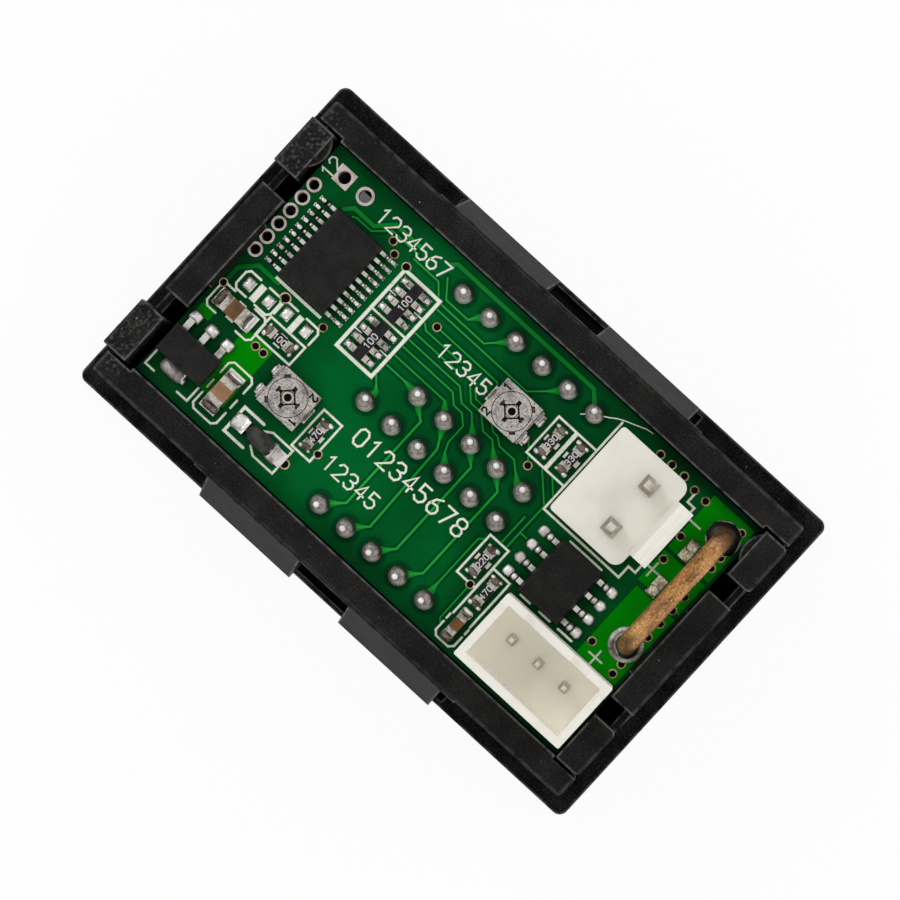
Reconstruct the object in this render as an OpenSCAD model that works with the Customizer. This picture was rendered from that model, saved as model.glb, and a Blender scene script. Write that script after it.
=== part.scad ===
// Two-row digital panel meter, lying on its front face with the circuit board facing up.
// Lengths are in millimetres. X runs along the bezel, Y across it, Z from the front face to the rear.

/* [Board] */
// Length of the circuit board
board_length = 40.9; // [40.9:0.1:60]
// Width of the circuit board
board_width = 21.7; // [21.7:0.1:40]
// Thickness of the circuit board
board_thickness = 1.6; // [0.8:0.1:2.4]
// Gap between the board's edge and the walls round it
board_gap = 0.1; // [0.05:0.01:0.2]
// Depth of the board's rear face below the case rim
board_recess = 1.5; // [1.2:0.1:4]

/* [Case] */
// Thickness of the two long walls
long_wall = 2.05; // [1.8:0.05:3]
// Thickness of the two end walls
end_wall = 2.1; // [1.6:0.05:3]
// Width of the ledge under the board at each end
end_ledge = 1.2; // [0.6:0.1:2]
// Width of the ledge under the board along each long wall
side_ledge = 0.4; // [0.2:0.05:0.4]
// Radius of the case's upright corners
case_corner_r = 0.35; // [0.2:0.05:0.8]
// Chamfer along the rear rim
rim_chamfer = 0.15; // [0.05:0.05:0.3]

/* [Bezel] */
// How far the bezel stands out past the end walls
bezel_end_margin = 1.35; // [1:0.05:4]
// How far the bezel stands out past the long walls
bezel_side_margin = 1.5; // [1.2:0.05:4]
// Thickness of the bezel flange
bezel_depth = 2; // [1.6:0.1:4]
// Radius of the bezel's upright corners
bezel_corner_r = 0.7; // [0.3:0.1:2]
// Chamfer round the bezel's front edge
bezel_chamfer = 0.4; // [0.1:0.1:0.8]
// Slope cut round the window opening
opening_chamfer = 0.5; // [0.1:0.1:0.7]

/* [Window] */
// Thickness of the tinted window
window_thickness = 1.5; // [1:0.1:3]
// Thickness of the front lip that the window rests on
window_lip = 1; // [0.8:0.1:1.4]
// Width of that lip
window_lip_width = 0.8; // [0.5:0.1:1.5]
// Gap between the window's edge and the case
window_gap = 0.1; // [0.05:0.01:0.2]

/* [Panel clips] */
// Width of one clip
clip_width = 8.9; // [5:0.1:9.5]
// Distance between the two clips of a long wall
clip_spacing = 4.8; // [3:0.1:6]
// Thickness of a clip
clip_thickness = 0.95; // [0.7:0.05:1.1]
// How far the clips on the +Y wall stand out past the wall
clip_reach_upper = 1.4; // [0.8:0.05:2]
// How far the clips on the -Y wall stand out past the wall
clip_reach_lower = 1.8; // [0.8:0.05:2]
// Thickest panel that fits between flange and clips
panel_space = 3; // [1:0.1:4]
// Free room beside each clip
clip_side_gap = 0.5; // [0.3:0.1:0.8]
// Radius of the clip's free corners
clip_corner_r = 0.7; // [0.2:0.1:1.5]
// Height of the thicker pad on the middle of each long wall
wall_pad = 0.1; // [0.05:0.05:0.3]
// Depth of the groove in the back of the flange under the clips
flange_groove = 1; // [0.4:0.1:1.1]

/* [End fingers] */
// Width of one springy finger
finger_width = 4.15; // [3:0.05:4.4]
// Width of the slot between a finger and the middle of the end wall
finger_slot = 1.7; // [1:0.05:2]
// Width of the slit between a finger and the long wall
finger_slit = 0.25; // [0.15:0.05:0.4]
// Height of the flexing root above the flange
finger_root = 2.5; // [1:0.1:4]
// Thickness of the skin that closes each slot low down
slot_skin = 0.65; // [0.4:0.05:1]
// Height of that skin above the flange
slot_skin_height = 6; // [3:0.1:8]
// How far the hooks of the end walls reach over the board
hook_reach = 0.25; // [0.15:0.05:0.4]
// Width of the hook on the middle of each end wall
hook_width = 6; // [3:0.1:6.4]

/* [Displays] */
// Room for other parts between the displays and the board's -X end
display_left_room = 8.9; // [6:0.1:9]
// Room for other parts between the displays and the board's +X end
display_right_room = 9.5; // [9.5:0.1:11]
// Gap between a display and the ledge beside it
display_side_gap = 0.2; // [0.1:0.05:0.4]
// Gap between the two displays
display_spacing = 0.6; // [0.3:0.05:0.8]
// Depth of one display
display_depth = 6.2; // [4:0.1:9]
// Room between the window and the displays
display_gap = 1.2; // [0.2:0.1:3]
// Height of a digit
digit_height = 7; // [5:0.1:7.4]
// Width of a digit
digit_width = 3.9; // [3:0.1:4.6]
// Width of a digit's light bars
bar_width = 0.85; // [0.5:0.05:1]
// Depth of a digit's light bars
bar_depth = 0.6; // [0.3:0.1:1.5]
// Distance between the pins of a row
pin_pitch = 2.54; // [2:0.01:2.54]
// Distance between a display's two rows of pins
pin_row_pitch = 7.62; // [6:0.01:8]
// Diameter of a display pin
pin_d = 0.5; // [0.3:0.02:0.5]
// Height of the pin ends above the board
pin_end = 1.1; // [0.9:0.05:1.6]
// Diameter of a solder joint
joint_d = 1.46; // [1.2:0.02:1.8]
// Height of a solder joint
joint_height = 0.9; // [0.4:0.05:0.9]

/* [Power header] */
// Length of the two-pin header's base
power_length = 7.9; // [7.2:0.1:8]
// Width of its base
power_width = 6.5; // [5.5:0.1:6.5]
// Height of its base
power_base = 3; // [2:0.1:4]
// Height of the latch wall above the board
power_latch_height = 9.4; // [7:0.1:11]
// Width of the latch wall
power_latch_width = 5.05; // [4:0.05:6]
// Distance between its pins
power_pin_pitch = 3.96; // [3.5:0.01:4.2]
// Thickness of its square pins
power_pin = 1.14; // [0.8:0.02:1.3]
// Height of its pins above the board
power_pin_height = 8.4; // [6:0.1:9.4]

/* [Signal header] */
// Length of the three-pin header
signal_length = 10; // [9:0.05:10.2]
// Width of the header
signal_width = 5.75; // [5.2:0.05:5.8]
// Height of the header
signal_height = 7; // [5:0.1:9]
// Thickness of the header's walls
signal_wall = 0.65; // [0.6:0.05:1]
// Radius of the header's upright corners
signal_corner_r = 0.15; // [0.05:0.05:0.4]
// Depth of the notches that guide the plug
signal_notch = 0.8; // [0.4:0.1:1.2]
// Thickness of the header's floor
signal_floor = 1.2; // [0.8:0.1:2]
// Distance between its pins
signal_pin_pitch = 2.5; // [2:0.01:2.6]
// Thickness of its square pins
signal_pin = 0.64; // [0.4:0.02:0.8]
// Height of its pins above the board
signal_pin_height = 5.6; // [3:0.1:6.5]
// Length of the header tails past the board's front
tail_length = 1.6; // [1:0.1:2.5]

/* [Shunt] */
// Diameter of the shunt wire
shunt_d = 1.45; // [0.8:0.05:1.5]
// Distance between the shunt's two legs
shunt_span = 10.3; // [9:0.05:10.8]
// Height of the shunt's centre line above the board
shunt_height = 2.6; // [2.4:0.1:4]
// Bend radius of the shunt's centre line
shunt_bend_r = 1.5; // [1:0.1:2.2]
// Diameter of the solder pool round each leg
shunt_pool_d = 2.7; // [2:0.05:2.8]
// Diameter of the solder round each leg on the board's front side
shunt_joint_d = 2.9; // [2:0.05:3]
// Height of that solder
shunt_joint_height = 0.7; // [0.4:0.05:1]

/* [Trimmers] */
// Length of the trimmer's body
trimmer_length = 3.6; // [3.4:0.05:4]
// Width of the trimmer's body
trimmer_width = 3.2; // [3.1:0.05:3.4]
// Height of the trimmer's body under the rotor
trimmer_floor = 0.75; // [0.5:0.05:1]
// Diameter of the rotor
rotor_d = 2.84; // [2.4:0.02:2.84]
// Thickness of the rotor
rotor_thickness = 0.35; // [0.2:0.05:0.5]
// Gap round the rotor
rotor_gap = 0.05; // [0.04:0.01:0.1]
// Diameter of the eyelet that the rotor turns on
eyelet_d = 0.96; // [0.8:0.02:1]
// Running clearance between eyelet and rotor
eyelet_clearance = 0.05; // [0.02:0.01:0.08]
// Hole through the eyelet
eyelet_hole_d = 0.56; // [0.3:0.02:0.6]

/* [Chips] */
// Length of the controller's package
controller_length = 6.5; // [6.2:0.1:6.8]
// Width of the controller's package
controller_width = 4.4; // [4:0.1:4.6]
// Distance between the controller's leads
controller_pitch = 0.65; // [0.5:0.01:0.65]
// Length of the amplifier's package
amplifier_length = 4.9; // [4.6:0.1:5]
// Width of the amplifier's package
amplifier_width = 3.9; // [3.6:0.1:4]
// Distance between the amplifier's leads
amplifier_pitch = 1.27; // [1.1:0.01:1.27]
// Height of the controller's and amplifier's packages
chip_height = 1.35; // [0.9:0.05:1.6]
// Length of the regulator's package
regulator_length = 4.3; // [4:0.05:4.4]
// Width of the regulator's package
regulator_width = 2.45; // [2.2:0.05:2.6]
// Height of the regulator's package
regulator_height = 1.5; // [1.2:0.05:1.7]
// Length of a resistor array
array_length = 3.2; // [3:0.05:3.2]
// Width of a resistor array
array_width = 1.6; // [1.4:0.05:1.7]

/* [Hidden] */
$fn = 48;
cut = 1;
case_length = board_length + 2 * (board_gap + end_wall);
case_width = board_width + 2 * (board_gap + long_wall);
bezel_length = case_length + 2 * bezel_end_margin;
bezel_width = case_width + 2 * bezel_side_margin;
inner_x = board_length / 2 + board_gap;
inner_y = board_width / 2 + board_gap;
lower_x = board_length / 2 - end_ledge;
lower_y = board_width / 2 - side_ledge;
window_top = window_lip + window_thickness;
display_face_z = window_top + display_gap;
board_front_z = display_face_z + display_depth;
board_rear_z = board_front_z + board_thickness;
rim_z = board_rear_z + board_recess;
clip_free_z = bezel_depth + panel_space;
clip_x = (clip_width + clip_spacing) / 2;
clip_zone = clip_x + clip_width / 2 + clip_side_gap;
finger_top_y = inner_y + 0.05;
finger_low_y = finger_top_y - finger_width;
middle_y = finger_low_y - finger_slot;
finger_z = bezel_depth + finger_root;
display_width = lower_y - display_side_gap - display_spacing / 2;
display_pitch = display_width + display_spacing;
display_length = board_length - display_left_room - display_right_room;
display_x = (display_left_room - display_right_room) / 2;
display_y = -0.05;
upper_y = display_y + display_pitch / 2;
lower_row_y = display_y - display_pitch / 2;
pin_clearance = 0.02;
power_joint_d = 3;
power_joint_height = 1;
signal_joint_d = 1.9;
signal_joint_height = 0.8;
ledge_relief_gap = 0.15;
ledge_relief_depth = max(shunt_joint_height, tail_length / 2) + 0.3;
joint_hole_r = pin_d / 2 + pin_clearance;
board_hole_r = pin_d / 2 + 0.3;
// The pins stand a little off the middle of their pads.
first_pin_x = -6.65;
pin_drift = -0.12;
upper_lean = 0;
lower_lean = 0.18;
upper_pad_shift = -0.1;
lower_pad_shift = 0;

// Edges of the board, and the end of the displays' rows of pins.
board_end_x = board_length / 2;
board_side_y = board_width / 2;
last_pin_x = first_pin_x + 5 * pin_pitch;

// A place in hundredths of the board's length and width, from the board's centre.
function at(x, y, turn = 0) = [x * board_length / 100, y * board_width / 100, turn];

power_place = at(28, 26.36);
power_pins_x = power_place[0] + 0.97;
signal_edge_gap = 0.24;
signal_place = [
    board_end_x - signal_edge_gap - signal_length / 2,
    -0.3419 * board_width
];
signal_pins = [signal_place[0] - 0.07, signal_place[1] + 0.52];
shunt_edge_gap = 0.865;
shunt_place = [board_end_x - shunt_edge_gap - shunt_d / 2, 0.1567 * board_width];
sense_x = shunt_place[0] - shunt_d / 2 - 0.485;
sense_places = [[sense_x, shunt_place[1] + 2.85], [sense_x, shunt_place[1] - 0.6]];
controller_place = at(-37.29, 19.35);
// The amplifier shares out the room between the two headers.
power_low_y = power_place[1] - power_length / 2;
signal_high_y = signal_place[1] + signal_width / 2;
header_room = power_low_y - signal_high_y - amplifier_length;
amplifier_place = [
    0.302 * board_length,
    signal_high_y + amplifier_length / 2 + 0.34 * header_room
];
regulator_edge_gap = 0.1;
regulator_place = [-board_end_x + regulator_edge_gap + regulator_length / 2, -0.3502 * board_width];
array_places = [at(-22.69, 25.58), at(-22.69, 8.85)];
// Two resistors and a capacitor stand between the displays' pins and the signal header.
pin_room = signal_place[0] - signal_length / 2 - last_pin_x;
near_pins_x = last_pin_x + 0.288 * pin_room;
near_header_x = last_pin_x + 0.697 * pin_room;
resistor_places = [
    at(-34.6, -11.06),
    at(-18.66, -26.41, 90),
    at(12.52, 24.65, 90),
    at(17.11, 24.98, 90),
    [near_pins_x, -0.1972 * board_width, 90],
    [near_header_x, -0.2664 * board_width, 90]
];
// Each capacitor has its place and its turn, and then its length, width and height.
capacitor_places = [
    concat(at(-43.89, -13.82), [2, 1.3, 1.1]),
    concat(at(-35.89, -36.64, 90), [2, 1.3, 1.1]),
    [near_header_x, -0.4078 * board_width, 90, 1.6, 0.8, 0.8]
];
diode_place = at(-25.18, -40.09);
spare_pad_places = [at(-42.79, -4.38), at(-34.47, -3.32)];
// The programming holes stand in a row at the end of the board.
programming_pitch = 1.25;
programming_x = -board_end_x + 0.58;
programming_y = 0.1993 * board_width;
programming_holes = [for (i = [-2.5:2.5]) [programming_x, programming_y + programming_pitch * i]];
jumper_y = board_side_y - 1.55;
jumper_pitch = 2;
square_pad_place = [-board_end_x + 1.85, jumper_y];
round_pad_place = [square_pad_place[0] + jumper_pitch, jumper_y];
trimmer_places = [at(-26.6, -23.27, 180), at(3.91, 23.18)];
trimmer_names = ["voltage_trimmer", "current_trimmer"];

// Bare plated holes: the copper on the rear face and in the bore, and the size of the rings.
hole_foil = 0.05;
hole_plating = 0.04;
programming_hole_r = 0.38;
programming_ring_r = 0.56;
jumper_hole_r = 0.48;
jumper_pad = 1.38;

// Clearance between the board and the hooks and noses that hold it down.
hook_clearance = 0.08;
// Height of the solid rim that the clips hang from.
clip_root = 1.2;

// Width, reach, distance of the knee and height of a lead of each chip.
controller_lead = [0.28, 1.05, 0.42, 0.72];
amplifier_lead = [0.4, 1.08, 0.42, 0.74];
lead_thickness = 0.15;
regulator_pitch = 1.53;
regulator_lead = [0.5, 0.9, 0.4];
regulator_tab_r = 0.95;

// A resistor array has four end pairs.
array_height = 0.5;
array_end = [0.4, 0.5];
array_pitch = 0.8;

// The diode, and the bent ends of its leads.
diode_length = 1.8;
diode_width = 1.25;
diode_height = 0.95;
diode_lead = 0.42;

// Mounds of solder on the two pairs of spare pads.
spare_pad = [0.75, 0.86, 0.3];
spare_pad_gap = 1.1;

// Ends of the trimmer's body, which stands a little off its rotor, and the rotor's height over it.
trimmer_left = -trimmer_length / 2 - 0.05;
trimmer_right = trimmer_left + trimmer_length + 0.1;
rotor_lift = 0.02;

// Chip resistors share one size.
resistor_length = 1.6;
resistor_width = 0.8;
resistor_height = 0.5;
resistor_cap = 0.3;

// ---------- shared shapes ----------

// A rectangle with round corners, centred on the origin.
module rounded_rect(length, width, r) {
    square([length - 2 * r, width], center = true);
    square([length, width - 2 * r], center = true);
    for (sx = [-1, 1])
        for (sy = [-1, 1])
            translate([sx * (length / 2 - r), sy * (width / 2 - r)])
                circle(r);
}

// A plate with round upright corners that stands on z = 0.
module rounded_plate(length, width, height, r) {
    linear_extrude(height)
        rounded_rect(length, width, r);
}

// A box from its lowest to its highest corner.
module span(low, high) {
    translate(low)
        cube(high - low);
}

// A profile drawn in Y and Z, drawn out along X and centred on x = 0.
module along_x(length) {
    rotate([90, 0, 90])
        translate([0, 0, -length / 2])
            linear_extrude(length)
                children();
}

// A profile drawn in X and Z, drawn out along Y and centred on y = 0.
module along_y(length) {
    rotate([90, 0, 0])
        translate([0, 0, -length / 2])
            linear_extrude(length)
                children();
}

// The children once as drawn and once mirrored to -X.
module both_ends() {
    children();
    mirror([1, 0, 0])
        children();
}

// The children once as drawn and once mirrored to -Y.
module both_sides() {
    children();
    mirror([0, 1, 0])
        children();
}

// A moulded package with sloped sides above and below its parting line.
module moulded_package(length, width, height, lift, slope) {
    low = lift;
    high = lift + height;
    middle = lift + height * 0.45;
    intersection() {
        along_y(length)
            polygon([
                [-width / 2 + slope, low],
                [width / 2 - slope, low],
                [width / 2, middle],
                [width / 2 - slope, high],
                [-width / 2 + slope, high],
                [-width / 2, middle]
            ]);
        along_x(width)
            polygon([
                [-length / 2 + slope, low],
                [length / 2 - slope, low],
                [length / 2, middle],
                [length / 2 - slope, high],
                [-length / 2 + slope, high],
                [-length / 2, middle]
            ]);
    }
}

// One gull-wing lead that leaves a package side at x = 0 and runs outward along +X.
module gull_lead(width, reach, knee, height, thickness) {
    along_y(width)
        polygon([
            [0, height - thickness],
            [knee - thickness, height - thickness],
            [knee, 0],
            [reach, 0],
            [reach, thickness],
            [knee + thickness, thickness],
            [knee, height],
            [0, height]
        ]);
}

// A sloped solder fillet that rises towards x = 0 and ends at x = length.
module solder_ramp(length, width, height) {
    along_y(width)
        polygon([
            [0, 0],
            [length, 0],
            [length * 0.96, height * 0.3],
            [length * 0.55, height * 0.45],
            [length * 0.2, height * 0.75],
            [0, height]
        ]);
}

module on_board(place) {
    translate([place[0], place[1], board_rear_z])
        children();
}

// ---------- case ----------

module front_bevel(length, width, size) {
    both_ends()
        translate([length / 2, 0, 0])
            rotate([0, 45, 0])
                cube([2 * size / sqrt(2), width + 2 * cut, 2 * size / sqrt(2)], center = true);
    both_sides()
        translate([0, width / 2, 0])
            rotate([45, 0, 0])
                cube([length + 2 * cut, 2 * size / sqrt(2), 2 * size / sqrt(2)], center = true);
}

module bezel_flange() {
    difference() {
        rounded_plate(bezel_length, bezel_width, bezel_depth, bezel_corner_r);
        front_bevel(bezel_length, bezel_width, bezel_chamfer);
        both_sides()
            span(
                [-clip_zone, case_width / 2, bezel_depth - flange_groove],
                [clip_zone, bezel_width / 2 - 0.4, bezel_depth + cut]
            );
    }
}

module case_block() {
    difference() {
        rounded_plate(case_length, case_width, rim_z, case_corner_r);
        translate([0, 0, rim_z])
            front_bevel(case_length, case_width, rim_chamfer);
    }
    both_sides()
        along_x(2 * (clip_zone + 0.8))
            polygon([
                [case_width / 2 - 1, bezel_depth],
                [case_width / 2 + wall_pad, bezel_depth],
                [case_width / 2 + wall_pad, rim_z - rim_chamfer],
                [case_width / 2 - rim_chamfer, rim_z],
                [case_width / 2 - 1, rim_z]
            ]);
}

module case_hollow() {
    opening_x = lower_x - window_lip_width;
    opening_y = lower_y - window_lip_width;
    span([-opening_x, -opening_y, -cut], [opening_x, opening_y, rim_z + cut]);
    front_slope = opening_chamfer * sqrt(2);
    both_ends()
        translate([opening_x, 0, 0])
            rotate([0, 45, 0])
                cube([front_slope, 2 * opening_y, front_slope], center = true);
    both_sides()
        translate([0, opening_y, 0])
            rotate([45, 0, 0])
                cube([2 * (opening_x + opening_chamfer / 2), front_slope, front_slope], center = true);
    span([-lower_x, -lower_y, window_lip], [lower_x, lower_y, rim_z + cut]);
    span([-inner_x, -inner_y, board_front_z], [inner_x, inner_y, rim_z + cut]);
}

// Room in the end ledge for the shunt's legs and their solder.
module ledge_reliefs() {
    relief_r = shunt_joint_d / 2 + ledge_relief_gap;
    for (place = shunt_leg_places())
        span(
            [place[0] - relief_r, place[1] - relief_r, board_front_z - ledge_relief_depth],
            [min(place[0] + relief_r, inner_x), place[1] + relief_r, board_front_z + cut]
        );
}

// Room in the long wall for one clip to flex into.
module clip_pocket() {
    pocket_half = clip_width / 2 + clip_side_gap;
    span(
        [clip_x - pocket_half, case_width / 2 - clip_thickness, bezel_depth - flange_groove],
        [clip_x + pocket_half, case_width / 2 + cut, rim_z - clip_root]
    );
}

// A clip is rooted at the rim and flares outward towards the flange.
module panel_clip(reach) {
    root_y = case_width / 2 + wall_pad;
    tip_y = case_width / 2 + reach;
    intersection() {
        translate([clip_x, 0, 0])
            along_x(clip_width)
                polygon([
                    [case_width / 2 - clip_thickness, rim_z - clip_root],
                    [tip_y - clip_thickness, clip_free_z],
                    [tip_y, clip_free_z],
                    [tip_y, clip_free_z + 0.5],
                    [root_y, rim_z - rim_chamfer],
                    [case_width / 2 - clip_thickness, rim_z - rim_chamfer]
                ]);
        translate([clip_x, 0, (clip_free_z + rim_z + 4) / 2])
            rotate([90, 0, 0])
                translate([0, 0, -bezel_width / 2 - clip_corner_r])
                    linear_extrude(bezel_width + 2 * clip_corner_r)
                        rounded_rect(clip_width, rim_z + 4 - clip_free_z, clip_corner_r);
    }
}

// Slots and slits that free the two fingers of the +X end wall.
module finger_cuts() {
    both_sides() {
        span(
            [inner_x - 0.1, middle_y, finger_z],
            [case_length / 2 + cut, finger_top_y + finger_slit, rim_z + cut]
        );
        span(
            [inner_x - end_ledge - 0.2, middle_y, finger_z],
            [case_length / 2 - slot_skin, finger_low_y, rim_z + cut]
        );
    }
}

// Skin that closes the low end of each slot.
module slot_skins() {
    both_sides()
        span(
            [case_length / 2 - slot_skin, middle_y - 0.2, finger_z - 0.2],
            [case_length / 2, finger_low_y, bezel_depth + slot_skin_height]
        );
}

// One finger of the +X end wall, on the +Y side, leaning out by splay at its top.
module end_finger(splay, rounding) {
    outer = case_length / 2;
    along = [outer + splay, (finger_top_y + finger_low_y) / 2];
    intersection() {
        translate([0, along[1], 0])
            along_y(finger_width)
                polygon([
                    [inner_x + 0.02, finger_z - 0.2],
                    [outer, finger_z - 0.2],
                    [outer, finger_z],
                    [outer + splay, rim_z - rim_chamfer],
                    [outer + splay - rim_chamfer, rim_z],
                    [inner_x + splay, rim_z],
                    [inner_x, finger_z]
                ]);
        translate([along[0] - finger_width / 2, along[1], 0])
            rounded_plate(finger_width, finger_width, rim_z + cut, rounding);
    }
}

// A rounded nose on a finger that holds the board down.
module finger_nose(splay) {
    nose_r = 1.9;
    nose_z = board_rear_z + hook_clearance;
    lean = splay * (nose_z - finger_z) / (rim_z - finger_z);
    intersection() {
        translate([inner_x + lean - 2 * hook_reach + nose_r, finger_top_y - 1.6, nose_z])
            cylinder(h = 0.9, r = nose_r);
        span(
            [inner_x - 1, finger_low_y + 0.6, nose_z - cut],
            [inner_x + splay + 0.5, finger_top_y, nose_z + cut]
        );
    }
}

// A sloped hook on the middle of an end wall.
module wall_hook() {
    hook_z = board_rear_z + hook_clearance;
    along_y(hook_width)
        polygon([
            [inner_x + 0.3, hook_z],
            [inner_x - hook_reach, hook_z],
            [inner_x - hook_reach, hook_z + 0.2],
            [inner_x, rim_z - 0.3],
            [inner_x + 0.3, rim_z - 0.3]
        ]);
}

module housing() {
    color([0.1, 0.1, 0.1]) {
        difference() {
            union() {
                bezel_flange();
                case_block();
            }
            case_hollow();
            ledge_reliefs();
            both_sides()
                both_ends()
                    clip_pocket();
            both_ends()
                finger_cuts();
        }
        both_ends()
            slot_skins();
        both_ends()
            wall_hook();
        both_ends()
            panel_clip(clip_reach_upper);
        mirror([0, 1, 0])
            both_ends()
                panel_clip(clip_reach_lower);
        end_finger(0.2, 0.4);
        finger_nose(0.2);
        mirror([0, 1, 0])
            end_finger(0, 0.4);
        mirror([1, 0, 0]) {
            end_finger(0.5, 0.1);
            finger_nose(0.5);
            mirror([0, 1, 0])
                end_finger(0.7, 0.1);
        }
    }
}

module display_window() {
    color([0.12, 0.05, 0.05, 0.8])
        translate([0, 0, window_lip])
            rounded_plate(
                2 * (lower_x - window_gap),
                2 * (lower_y - window_gap),
                window_thickness,
                0.3
            );
}

// ---------- displays ----------

// One light bar of a digit, along X and centred.
module light_bar(length) {
    half = length / 2;
    side = bar_width / 2;
    polygon([
        [-half, 0],
        [-half + side, -side],
        [half - side, -side],
        [half, 0],
        [half - side, side],
        [-half + side, side]
    ]);
}

// The seven bars and the point of one digit.
module digit_bars() {
    gap = 0.12;
    across = digit_width - bar_width - 2 * gap;
    upright = (digit_height - bar_width) / 2 - 2 * gap;
    for (row = [-1, 0, 1])
        translate([0, row * (digit_height - bar_width) / 2])
            light_bar(across);
    for (sx = [-1, 1])
        for (sy = [-1, 1])
            translate([sx * (digit_width - bar_width) / 2, sy * (digit_height - bar_width) / 4])
                rotate(90)
                    light_bar(upright);
    translate([-digit_width / 2 - 0.9, -(digit_height - bar_width) / 2])
        circle(bar_width / 2);
}

module digit_row() {
    for (i = [-1:1])
        translate([display_x + i * display_length / 3 + 0.35, 0, 0])
            digit_bars();
}

module display_case(place_y) {
    color([0.75, 0.75, 0.73])
        translate([0, place_y, display_face_z])
            difference() {
                translate([display_x, 0, 0])
                    rounded_plate(display_length, display_width, display_depth, 0.2);
                translate([0, 0, -cut])
                    linear_extrude(cut + bar_depth)
                        digit_row();
            }
}

module display_segments(place_y) {
    color([0.9, 0.85, 0.8])
        translate([0, place_y, display_face_z])
            linear_extrude(bar_depth)
                digit_row();
}

// The row towards +Y has six pins, and the other row lacks the first of them.
function pin_columns(row) = [for (i = [row:5]) first_pin_x + pin_pitch * i];
function pin_rows(place_y, half_pitch, drift) = concat(
    [for (x = pin_columns(0)) [x + drift, place_y + half_pitch]],
    [for (x = pin_columns(1)) [x + drift, place_y - half_pitch]]
);
function pin_places(place_y, lean) = pin_rows(place_y, pin_row_pitch / 2 + lean, pin_drift);
function pad_places(place_y, shift) = pin_rows(place_y + shift, pin_row_pitch / 2, 0);

// The pins have round ends.
module display_pins(place_y, lean) {
    straight = board_thickness + pin_end - pin_d / 2;
    color([0.8, 0.8, 0.8])
        for (place = pin_places(place_y, lean))
            translate([place[0], place[1], board_front_z]) {
                cylinder(h = straight, d = pin_d);
                translate([0, 0, straight])
                    sphere(d = pin_d);
            }
}

// A solder joint that tapers from its pad to the pin.
module solder_cone(d, height) {
    steps = 6;
    top_r = d * 0.22;
    rotate_extrude()
        polygon(concat(
            [[0, 0]],
            [for (i = [0:steps])
                let (t = i / steps)
                [top_r + (d / 2 - top_r) * cos(90 * pow(t, 0.8)), height * sin(90 * t) * (0.35 + 0.65 * t)]
            ],
            [[0, height]]
        ));
}

// A full, round solder joint that closes in on the pin near its top.
module solder_dome(d, height) {
    steps = 8;
    top_r = d * 0.21;
    rotate_extrude()
        polygon(concat(
            [[0, 0]],
            [for (i = [0:steps])
                let (turn = 90 * i / steps)
                [top_r + (d / 2 - top_r) * pow(cos(turn), 0.8), height * sin(turn)]
            ],
            [[0, height]]
        ));
}

module display_joints(place_y, lean, shift) {
    color([0.72, 0.72, 0.7])
        difference() {
            for (place = pad_places(place_y, shift))
                on_board(place)
                    solder_dome(joint_d, joint_height);
            for (place = pin_places(place_y, lean))
                on_board(place)
                    cylinder(h = 3, r = joint_hole_r, center = true);
        }
}

// ---------- circuit board ----------

// Copper in a bare hole, with the children as the outline of its ring on the rear face.
module plated_hole(hole_r) {
    difference() {
        union() {
            translate([0, 0, -board_thickness])
                cylinder(h = board_thickness, r = hole_r + hole_plating);
            linear_extrude(hole_foil)
                children();
        }
        translate([0, 0, -board_thickness - cut])
            cylinder(h = board_thickness + hole_foil + 2 * cut, r = hole_r);
    }
}

module plated_holes() {
    color([0.75, 0.72, 0.68]) {
        for (place = programming_holes)
            on_board(place)
                plated_hole(programming_hole_r)
                    circle(programming_ring_r);
        on_board(square_pad_place)
            plated_hole(jumper_hole_r)
                square(jumper_pad, center = true);
        on_board(round_pad_place)
            plated_hole(jumper_hole_r)
                circle(jumper_pad / 2);
    }
}

module through_hole(place, r) {
    translate([place[0], place[1], board_front_z - cut])
        cylinder(h = board_thickness + 2 * cut, r = r);
}

function power_pin_places() = [
    for (s = [-1, 1]) [power_pins_x, power_place[1] + s * power_pin_pitch / 2]
];
function signal_pin_places() = [
    for (i = [-1:1]) [signal_pins[0] + i * signal_pin_pitch, signal_pins[1]]
];
function shunt_leg_places() = [
    for (s = [-1, 1]) [shunt_place[0], shunt_place[1] + s * shunt_span / 2]
];

module circuit_board() {
    color([0.05, 0.35, 0.2])
        difference() {
            translate([0, 0, board_front_z])
                linear_extrude(board_thickness)
                    square([board_length, board_width], center = true);
            for (place = pad_places(upper_y, upper_pad_shift))
                through_hole(place, board_hole_r);
            for (place = pad_places(lower_row_y, lower_pad_shift))
                through_hole(place, board_hole_r);
            for (place = programming_holes)
                through_hole(place, programming_hole_r + hole_plating);
            through_hole(square_pad_place, jumper_hole_r + hole_plating);
            through_hole(round_pad_place, jumper_hole_r + hole_plating);
            for (place = power_pin_places())
                through_hole(place, power_pin / sqrt(2) + 0.05);
            for (place = signal_pin_places())
                through_hole(place, signal_pin / sqrt(2) + 0.05);
            for (place = shunt_leg_places())
                through_hole(place, shunt_d / 2 + 0.08);
        }
}

// ---------- shunt ----------

module shunt_half() {
    rise = shunt_height - shunt_bend_r;
    end_y = shunt_span / 2;
    rotate([-90, 0, 0])
        cylinder(h = end_y - shunt_bend_r, d = shunt_d);
    translate([0, end_y - shunt_bend_r, -shunt_bend_r])
        rotate([90, 0, 90])
            rotate_extrude(angle = 90)
                translate([shunt_bend_r, 0])
                    circle(d = shunt_d);
    translate([0, end_y, -shunt_bend_r - rise - board_thickness - tail_length / 2])
        cylinder(h = rise + board_thickness + tail_length / 2, d = shunt_d);
}

module shunt_wire() {
    color([0.7, 0.5, 0.35])
        translate([shunt_place[0], shunt_place[1], board_rear_z + shunt_height])
            both_sides()
                shunt_half();
}

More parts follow.
